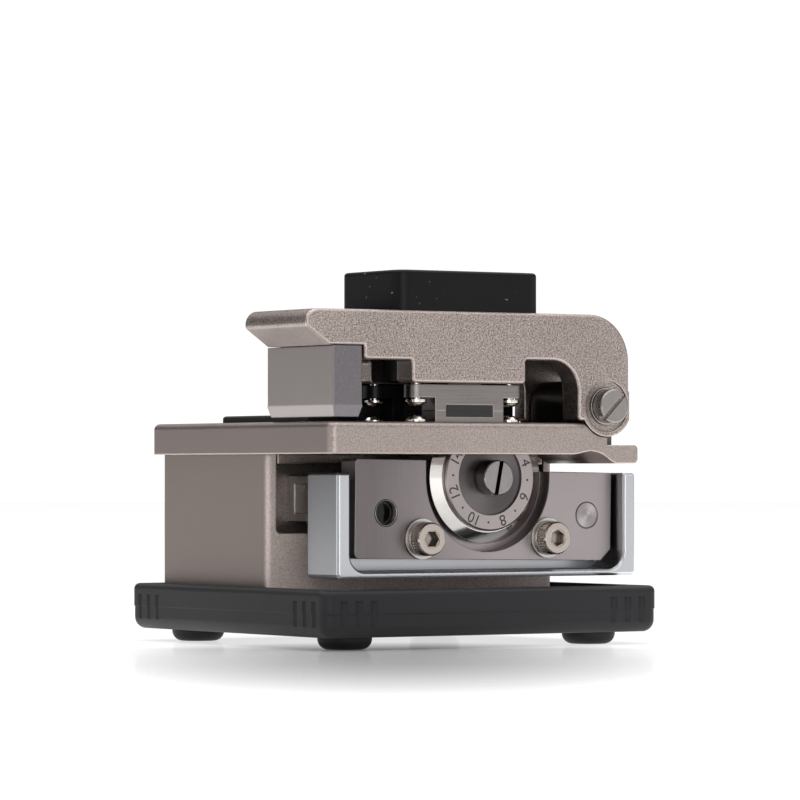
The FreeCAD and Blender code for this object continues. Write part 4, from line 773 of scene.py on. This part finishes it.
@dataclass
class LockScrews:
    """Two socket screws with knurled heads, and the split spring washers under them."""

    head_radius: float = 2.8 * MM
    head_height: float = 2.2 * MM
    edge: float = 0.28 * MM
    teeth: int = 36
    tooth_depth: float = 0.13 * MM
    shank_radius: float = 1.5 * MM
    socket_radius: float = 1.45 * MM
    socket_depth: float = 1.3 * MM
    lead_width: float = 0.1 * MM
    lead_depth: float = 0.12 * MM
    overcut: float = 1 * MM
    flat: float = 0.9
    rim_margin: float = 0.02 * MM
    turned_by: float = 24.0
    washer_outer: float = 2.9 * MM
    washer_inner: float = 1.62 * MM
    washer_gap: float = 14.0
    washer_turn: float = 35.0
    washer_steps: int = 64
    washer_share: float = 0.92

    def places(self) -> list[tuple[float, float]]:
        """The two screws' places along Y and Z."""
        low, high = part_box("lock_screws")
        height = (low.z + high.z) / 2
        return [(low.y + self.head_radius, height), (high.y - self.head_radius, height)]

    def screw(self) -> bpy.types.Object:
        """Model one screw with its head's underside at zero and its face upwards."""
        low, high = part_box("lock_screws")
        shank = high.x - low.x - self.head_height
        item = cylinder("lock_screw_model", self.head_radius, 0.0, self.head_height - self.edge,
                        2 * self.teeth)
        pick(item, "FACE", lambda face: face.normal.z > self.flat)
        bpy.ops.mesh.inset(thickness=self.edge, depth=self.edge)
        pick(item, "FACE", lambda face: face.normal.z < -self.flat)
        bpy.ops.mesh.inset(thickness=self.head_radius - self.shank_radius, depth=0.0)
        bpy.ops.mesh.extrude_region_move(TRANSFORM_OT_translate={"value": (0.0, 0.0, -shank)})
        rim = self.head_radius - self.rim_margin
        sector = math.tau / (2 * self.teeth)
        pick(item, "VERT", lambda spot: math.hypot(spot.co.x, spot.co.y) > rim
             and round(math.atan2(spot.co.y, spot.co.x) / sector) % 2 == 0)
        share = 1 - self.tooth_depth / self.head_radius
        bpy.ops.transform.resize(value=(share, share, 1.0), center_override=(0.0, 0.0, 0.0))
        deselect()
        top = self.head_height
        over = top + self.overcut
        carve(item, cylinder("socket_tool", self.socket_radius, top - self.socket_depth, over, 6))
        lead_radius = self.socket_radius + self.lead_width
        carve(item, cylinder("rim_tool", lead_radius, top - self.lead_depth, over, 48))
        return item

    def washer(self) -> bpy.types.Object:
        """Model one split washer as a square section swept almost all round."""
        low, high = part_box("lock_spring_washers")
        thickness = high.x - low.x
        deselect()
        middle = (self.washer_inner + self.washer_outer) / 2
        bpy.ops.mesh.primitive_plane_add(size=1.0, location=(middle, 0.0, thickness / 2),
                                         rotation=(math.pi / 2, 0, 0))
        item = bpy.context.object
        item.name = "spring_washer_model"
        item.scale = (self.washer_outer - self.washer_inner, thickness * self.washer_share, 1.0)
        settle(item)
        bpy.ops.object.mode_set(mode="EDIT")
        bpy.ops.mesh.select_all(action="SELECT")
        bpy.ops.mesh.spin(steps=self.washer_steps, angle=math.radians(360 - self.washer_gap),
                          center=(0, 0, 0), axis=(0, 0, 1))
        deselect()
        return item

    def build(self) -> None:
        """Model, copy and place the screws and the washers."""
        low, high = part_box("lock_screws")
        ring_low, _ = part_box("lock_spring_washers")
        steel = FINISHES["screw_steel"].material()
        spring = FINISHES["spring_steel"].material()
        face_out = Matrix.Rotation(math.pi / 2, 4, "Y")
        models = (
            (self.screw(), high.x - self.head_height, steel, "lock_screws", "screw_steel", 0.0),
            (self.washer(), ring_low.x, spring, "lock_spring_washers", "spring_steel", self.washer_turn),
        )
        for model, start, material, node, slot, turn in models:
            for index, (along, height) in enumerate(self.places()):
                item = copy_of(model, f"{node}_{index + 1}")
                spin = Matrix.Rotation(math.radians(turn + self.turned_by * index), 4, "Z")
                matrix = Matrix.Translation(Vector((start, along, height))) @ face_out @ spin
                finish_piece(item, matrix, material, "slide")
                if index == 0:
                    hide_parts(node)
            bpy.data.objects.remove(model)


# ---- springs over the clamps and the anvil ----

@dataclass
class ClampSprings:
    """Small coil springs between the lid and the floating clamps."""

    wire_radius: float = 0.16 * MM
    turns: int = 6
    wire_sides: int = 8
    steps: int = 24

    def coil(self, radius: float, length: float) -> bpy.types.Object:
        """Model one coil from a small ring swept up a screw line.

        Args:
            radius: from the coil's axis to its outside.
            length: its full length.

        Returns:
            The coil, standing on zero.
        """
        deselect()
        middle = radius - self.wire_radius
        bpy.ops.mesh.primitive_circle_add(vertices=self.wire_sides, radius=self.wire_radius,
                                          location=(middle, 0.0, self.wire_radius),
                                          rotation=(math.pi / 2, 0, 0))
        item = bpy.context.object
        item.name = "coil_model"
        settle(item)
        rise = (length - 2 * self.wire_radius) / self.turns
        apply(item, "SCREW", axis="Z", screw_offset=rise, iterations=self.turns, steps=self.steps,
              render_steps=self.steps, use_merge_vertices=False)
        pick(item, "VERT", lambda spot: True)
        bpy.ops.mesh.fill_holes(sides=self.wire_sides)
        deselect()
        return item

    def build(self) -> None:
        """Put two coils on each clamp."""
        wire = FINISHES["spring_steel"].material()
        for side in ("right", "left"):
            node = f"clamp_springs_{side}"
            low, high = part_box(node)
            radius = (high.x - low.x) / 2
            model = self.coil(radius, high.z - low.z)
            for index, along in enumerate((low.y + radius, high.y - radius)):
                item = copy_of(model, f"clamp_spring_{side}_{index + 1}")
                matrix = Matrix.Translation(Vector(((low.x + high.x) / 2, along, low.z)))
                finish_piece(item, matrix, wire, "lid_assembly")
                if index == 0:
                    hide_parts(node)
            bpy.data.objects.remove(model)


@dataclass
class AnvilSpring(ClampSprings):
    """The coil spring above the anvil; the real one shortens when the anvil is pushed up."""

    wire_radius: float = 0.2 * MM
    turns: int = 4
    travel: float = 0.8 * MM

    def build(self) -> None:
        """Model the coil and hang it on the lid assembly."""
        low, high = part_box("anvil_spring")
        length = high.z - low.z
        item = self.coil((high.x - low.x) / 2, length)
        item.name = "anvil_spring_coil"
        middle = (low + high) / 2
        matrix = Matrix.Translation(Vector((middle.x, middle.y, low.z)))
        wire = FINISHES["spring_steel"].material()
        finish_piece(item, matrix, wire, "lid_assembly")
        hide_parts("anvil_spring")
        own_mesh(item)


# ---- dark strip beside the left clamp, standing in for shade ----

@dataclass
class ClampShield:
    """A guessed dark strip outside the left clamp, which closes the view between the clamps: painted
    shade standing in for the shade there and for dark parts that are not modelled.
    """

    thickness: float = 0.6 * MM
    gap: float = 0.05 * MM
    bottom: float = 37.55 * MM
    top: float = 44.1 * MM
    overhang: float = 9.0 * MM
    bevel: float = 0.15 * MM

    def build(self) -> None:
        """Model the strip and hang it on the clamp."""
        low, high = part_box("upper_clamp_left")
        deselect()
        bpy.ops.mesh.primitive_cube_add(size=1.0)
        item = bpy.context.object
        item.name = "clamp_shade_strip"
        item.scale = (self.thickness, high.y - low.y + self.overhang, self.top - self.bottom)
        settle(item)
        apply(item, "BEVEL", width=self.bevel, segments=2)
        along = (low.y + high.y + self.overhang) / 2
        across = low.x - self.gap - self.thickness / 2
        matrix = Matrix.Translation(Vector((across, along, (self.bottom + self.top) / 2)))
        black = FINISHES["black_metal"].material()
        finish_piece(item, matrix, black, "left_clamp")


# ---- height adjuster ----

@dataclass
class AdjusterDetails:
    """The thread in the carrier's hole and the black half-round stop in front of the adjuster."""

    pitch: float = 0.36 * MM
    turns: int = 3
    ridge: float = 0.2 * MM
    hole_radius: float = 2.14 * MM
    steps: int = 48
    stop_radius: float = 2.05 * MM
    stop_thickness: float = 0.14 * MM
    stop_edge: float = 0.12 * MM

    def place(self, start: float) -> Matrix:
        """The place of a piece that stands on the adjuster's axis at a given X."""
        low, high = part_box("height_adjuster")
        middle = Vector((start, (low.y + high.y) / 2, (low.z + high.z) / 2))
        return Matrix.Translation(middle) @ Matrix.Rotation(math.pi / 2, 4, "Y")

    def build_thread(self) -> None:
        """Sweep a pointed ridge round the hole's wall."""
        _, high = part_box("height_adjuster")
        deselect()
        bpy.ops.mesh.primitive_circle_add(vertices=3, radius=self.ridge,
                                          location=(self.hole_radius, 0.0, 0.0),
                                          rotation=(math.pi / 2, 0, 0))
        item = bpy.context.object
        item.name = "adjuster_thread"
        settle(item)
        apply(item, "SCREW", axis="Z", screw_offset=self.pitch, iterations=self.turns,
              steps=self.steps, render_steps=self.steps)
        matrix = self.place(high.x + self.ridge / 2)
        finish_piece(item, matrix, FINISHES["spring_steel"].material(), "carrier")

    def build_stop(self) -> None:
        """Cut a disc in two and keep the front half."""
        _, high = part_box("height_adjuster")
        item = cylinder("adjuster_stop", self.stop_radius, 0.0, self.stop_thickness, 64)
        deselect()
        side = 3 * self.stop_radius
        bpy.ops.mesh.primitive_cube_add(size=side, location=(0.0, self.stop_edge + side / 2, 0.0))
        carve(item, settle(bpy.context.object))
        black = FINISHES["black_metal"].material()
        finish_piece(item, self.place(high.x), black, "adjuster")

    def build(self) -> None:
        """Build both pieces."""
        self.build_thread()
        self.build_stop()


# ---- dial ----

@dataclass
class DialMarks:
    """The even numbers and the dots between them, printed round the dial's ring."""

    body: str = "wheel"
    positions: int = 16
    text_height: float = 1.95 * MM
    text_scale: float = 1.35
    text_spacing: float = 0.95
    dot_radius: float = 0.2 * MM
    dot_sides: int = 20
    print_height: float = 0.03 * MM
    inner_radius: float = DIAL_MIDDLE_RADIUS
    outer_radius: float = 8.7 * MM
    start: float = -3.0
    start_position: int = 5

    def centre(self) -> Vector:
        """The middle of the dial's outer face."""
        low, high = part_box("dial_ring")
        return Vector((high.x, (low.y + high.y) / 2, (low.z + high.z) / 2))

    def angle(self, position: int) -> float:
        """The angle of a position from +Y, rising towards +Z, in radians.

        Args:
            position: a number on the dial from 1 to 16.

        Returns:
            The angle of that number's mark.
        """
        step = math.tau / self.positions
        return math.radians(self.start) - (position - self.start_position) * step

    def spot(self, position: int) -> Vector:
        """The middle of a position's mark."""
        angle = self.angle(position)
        radius = (self.inner_radius + self.outer_radius) / 2
        return self.centre() + Vector((0, math.cos(angle), math.sin(angle))) * radius

    def number(self, position: int, ink: bpy.types.Material) -> bpy.types.Object:
        """Print one number with its top outwards."""
        bpy.ops.object.text_add()
        item = bpy.context.object
        item.data.body = str(position)
        item.data.size = self.text_height * self.text_scale
        item.data.align_x = "CENTER"
        item.data.align_y = "CENTER"
        item.data.extrude = self.print_height / 2
        item.data.space_character = self.text_spacing
        upright = Matrix(((0, 0, 1), (1, 0, 0), (0, 1, 0))).to_4x4()
        lean = Matrix.Rotation(self.angle(position) - math.pi / 2, 4, "X")
        bpy.ops.object.convert(target="MESH")
        item = bpy.context.object
        item.matrix_world = Matrix.Translation(self.spot(position)) @ lean @ upright
        item.name = f"dial_number_{position:02d}"
        settle(item)
        item.data.materials.append(ink)
        return item

    def dot(self, position: int, ink: bpy.types.Material) -> bpy.types.Object:
        """Print one dot."""
        bpy.ops.mesh.primitive_cylinder_add(vertices=self.dot_sides, radius=self.dot_radius,
                                            depth=self.print_height, location=self.spot(position),
                                            rotation=(0, math.pi / 2, 0))
        item = bpy.context.object
        item.name = f"dial_dot_{position:02d}"
        settle(item)
        item.data.materials.append(ink)
        return item

    def build(self) -> None:
        """Print every mark and let it turn with the dial."""
        ink = INK.material()
        for position in range(1, self.positions + 1):
            deselect()
            mark = self.number(position, ink) if position % 2 == 0 else self.dot(position, ink)
            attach(mark, self.body)


# ---- studio ----

@dataclass(frozen=True)
class Glow:
    """A soft bright patch of the studio's light tent, or a dark one of negative strength."""

    axis: Triple
    start: float
    full: float
    strength: float


@dataclass
class Studio:
    """A white floor, a light tent with soft bright patches, and the camera."""

    floor_radius: float = 4.0
    floor_white: Triple = (0.92, 0.92, 0.92)
    floor_grey: Triple = (0.62, 0.62, 0.625)
    glow_low: Triple = (0.06, 0.06, 0.06)
    glow_high: Triple = (0.62, 0.62, 0.62)
    ahead: Triple = (0.8415, -0.54, 0.0)
    across: Triple = (0.54, 0.8415, 0.0)
    shade_width: float = 0.046
    shade_start: float = 0.06
    shade_length: float = 0.13
    camera_turn: float = 57.3
    camera_distance: float = 0.765
    camera_height: float = 0.0285
    lens: float = 201.4
    shift_x: float = 0.0106
    shift_y: float = 0.094
    tent: float = 0.16
    backdrop: float = 1.05
    glows: tuple[Glow, ...] = (
        Glow(UP, 0.45, 0.85, 2.3),
        Glow((0.80, 0.58, 0.12), 0.60, 0.93, 0.75),
        Glow((-0.30, -0.94, 0.10), 0.80, 0.97, 0.25),
        Glow((0.35, -0.93, 0.15), 0.25, 0.9, 0.35),
        Glow((0.84, -0.54, 0.05), 0.90, 0.98, 2.4),
        Glow((0.52, -0.85, 0.10), 0.970, 0.985, -0.95),
    )

    def floor(self) -> None:
        """A glossy white floor with a painted soft shadow in front of the tool, and an emission glow, a
        painted light, under and around it.
        """
        deselect()
        bpy.ops.mesh.primitive_circle_add(vertices=96, radius=self.floor_radius, fill_type="NGON",
                                          location=(0, 0, 0))
        item = bpy.context.object
        item.name = "studio_floor"
        graph = Graph("studio_white")
        spot = graph.place((1.0, 1.0, 0.0))
        ahead = graph.dot(spot, Vector(self.ahead))
        across = graph.dot(spot, Vector(self.across)) / self.shade_width
        along = (ahead - self.shade_start) / self.shade_length
        # painted soft shadow: the base colour turns grey over an ellipse in front of the tool
        open_floor = ((across * across + along * along) ** 0.5).above(0.5, 1.0)
        # painted light: emission under the tool and around it, low in the painted shadow
        glow = (1 - ahead.above(0.012, 0.04) + open_floor * open_floor).above(0.5, 1.0)
        painted_shadow = (1 - open_floor) ** 0.6
        item.data.materials.append(graph.finish(
            Base_Color=graph.blend(painted_shadow, self.floor_white, self.floor_grey),
            Roughness=0.08,
            Specular_IOR_Level=0.35,
            Emission_Color=graph.blend(glow, self.glow_low, self.glow_high),
            Emission_Strength=1.0,
        ))

    def sky(self) -> None:
        """A grey tent with bright patches, which the camera itself sees as plain white."""
        world = bpy.data.worlds.new("studio_light")
        world.use_nodes = True
        tree = Tree(world.node_tree)
        way = tree.add("ShaderNodeTexCoord", {}, {}, "Generated")
        light: Any = self.tent
        for glow in self.glows:
            middle = (glow.start + glow.full) / 2
            towards = tree.dot(way, Vector(glow.axis).normalized())
            patch = towards.above(middle, glow.full - glow.start)
            lit = patch * glow.strength
            light = lit + light if glow.strength > 0 else light * (1 + lit)
        seen = tree.add("ShaderNodeLightPath", {}, {}, "Is Camera Ray")
        strength = light + seen * (self.backdrop - light)
        background = tree.add("ShaderNodeBackground", {}, {"Color": WHITE, "Strength": strength})
        tree.add("ShaderNodeOutputWorld", {}, {"Surface": background}, None)
        bpy.context.scene.world = world

    def camera(self) -> None:
        """The camera, level with the slide, looking at the corner between it and the front."""
        turn = math.radians(self.camera_turn)
        data = bpy.data.cameras.new("camera")
        data.lens = self.lens
        data.shift_x = self.shift_x
        data.shift_y = self.shift_y
        item = bpy.data.objects.new("camera", data)
        bpy.context.scene.collection.objects.link(item)
        look = Vector((-math.sin(turn), math.cos(turn), 0.0))
        item.location = -look * self.camera_distance + Vector((0, 0, self.camera_height))
        item.rotation_euler = look.to_track_quat("-Z", "Y").to_euler()
        bpy.context.scene.camera = item

    def build(self) -> None:
        """Set up the whole studio."""
        bpy.context.scene.view_settings.view_transform = "Standard"
        self.camera()
        self.floor()
        self.sky()


def dress(frame: dict[str, Any]) -> None:
    """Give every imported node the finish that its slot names."""
    slots = {row["node"]: row["material_slot"] for row in frame["record"]["subparts"]}
    dial = DialMarks().centre()
    pin_low, pin_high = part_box("pivot_pin")
    pin = (pin_low + pin_high) / 2
    turned = {
        "dial_ring": TurnedMetal("dial_face", tuple(dial), DIAL_RING, DIAL_MIDDLE,
                                 DIAL_MIDDLE_RADIUS),
        "pivot_pin": TurnedMetal("turned_pin", tuple(pin), PIN_RIM, PIN_FACE, PIN_FACE_RADIUS,
                                 rings=1800.0, roughness=0.28, contrast=0.12, sheen=0.3),
    }
    made: dict[str, bpy.types.Material] = {}
    for name, item in frame["nodes"].items():
        slot = name if name in turned or name in NODE_FINISHES else slots[name]
        if slot not in made:
            made[slot] = (turned.get(name) or NODE_FINISHES.get(name) or FINISHES[slot]).material()
        if not item.material_slots:
            item.data.materials.append(None)
        for holder in item.material_slots:
            holder.material = made[slot]
        LOG.info("%s is finished as %s", name, made[slot].name)


def main() -> None:
    """Build the looks, sub-assembly by sub-assembly."""
    logging.basicConfig(level=logging.INFO, format="%(message)s")
    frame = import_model()
    Studio().build()
    dress(frame)
    DialMarks().build()
    LockScrews().build()
    ClampSprings().build()
    AnvilSpring().build()
    ClampShield().build()
    AdjusterDetails().build()


if __name__ == "__main__":
    main()
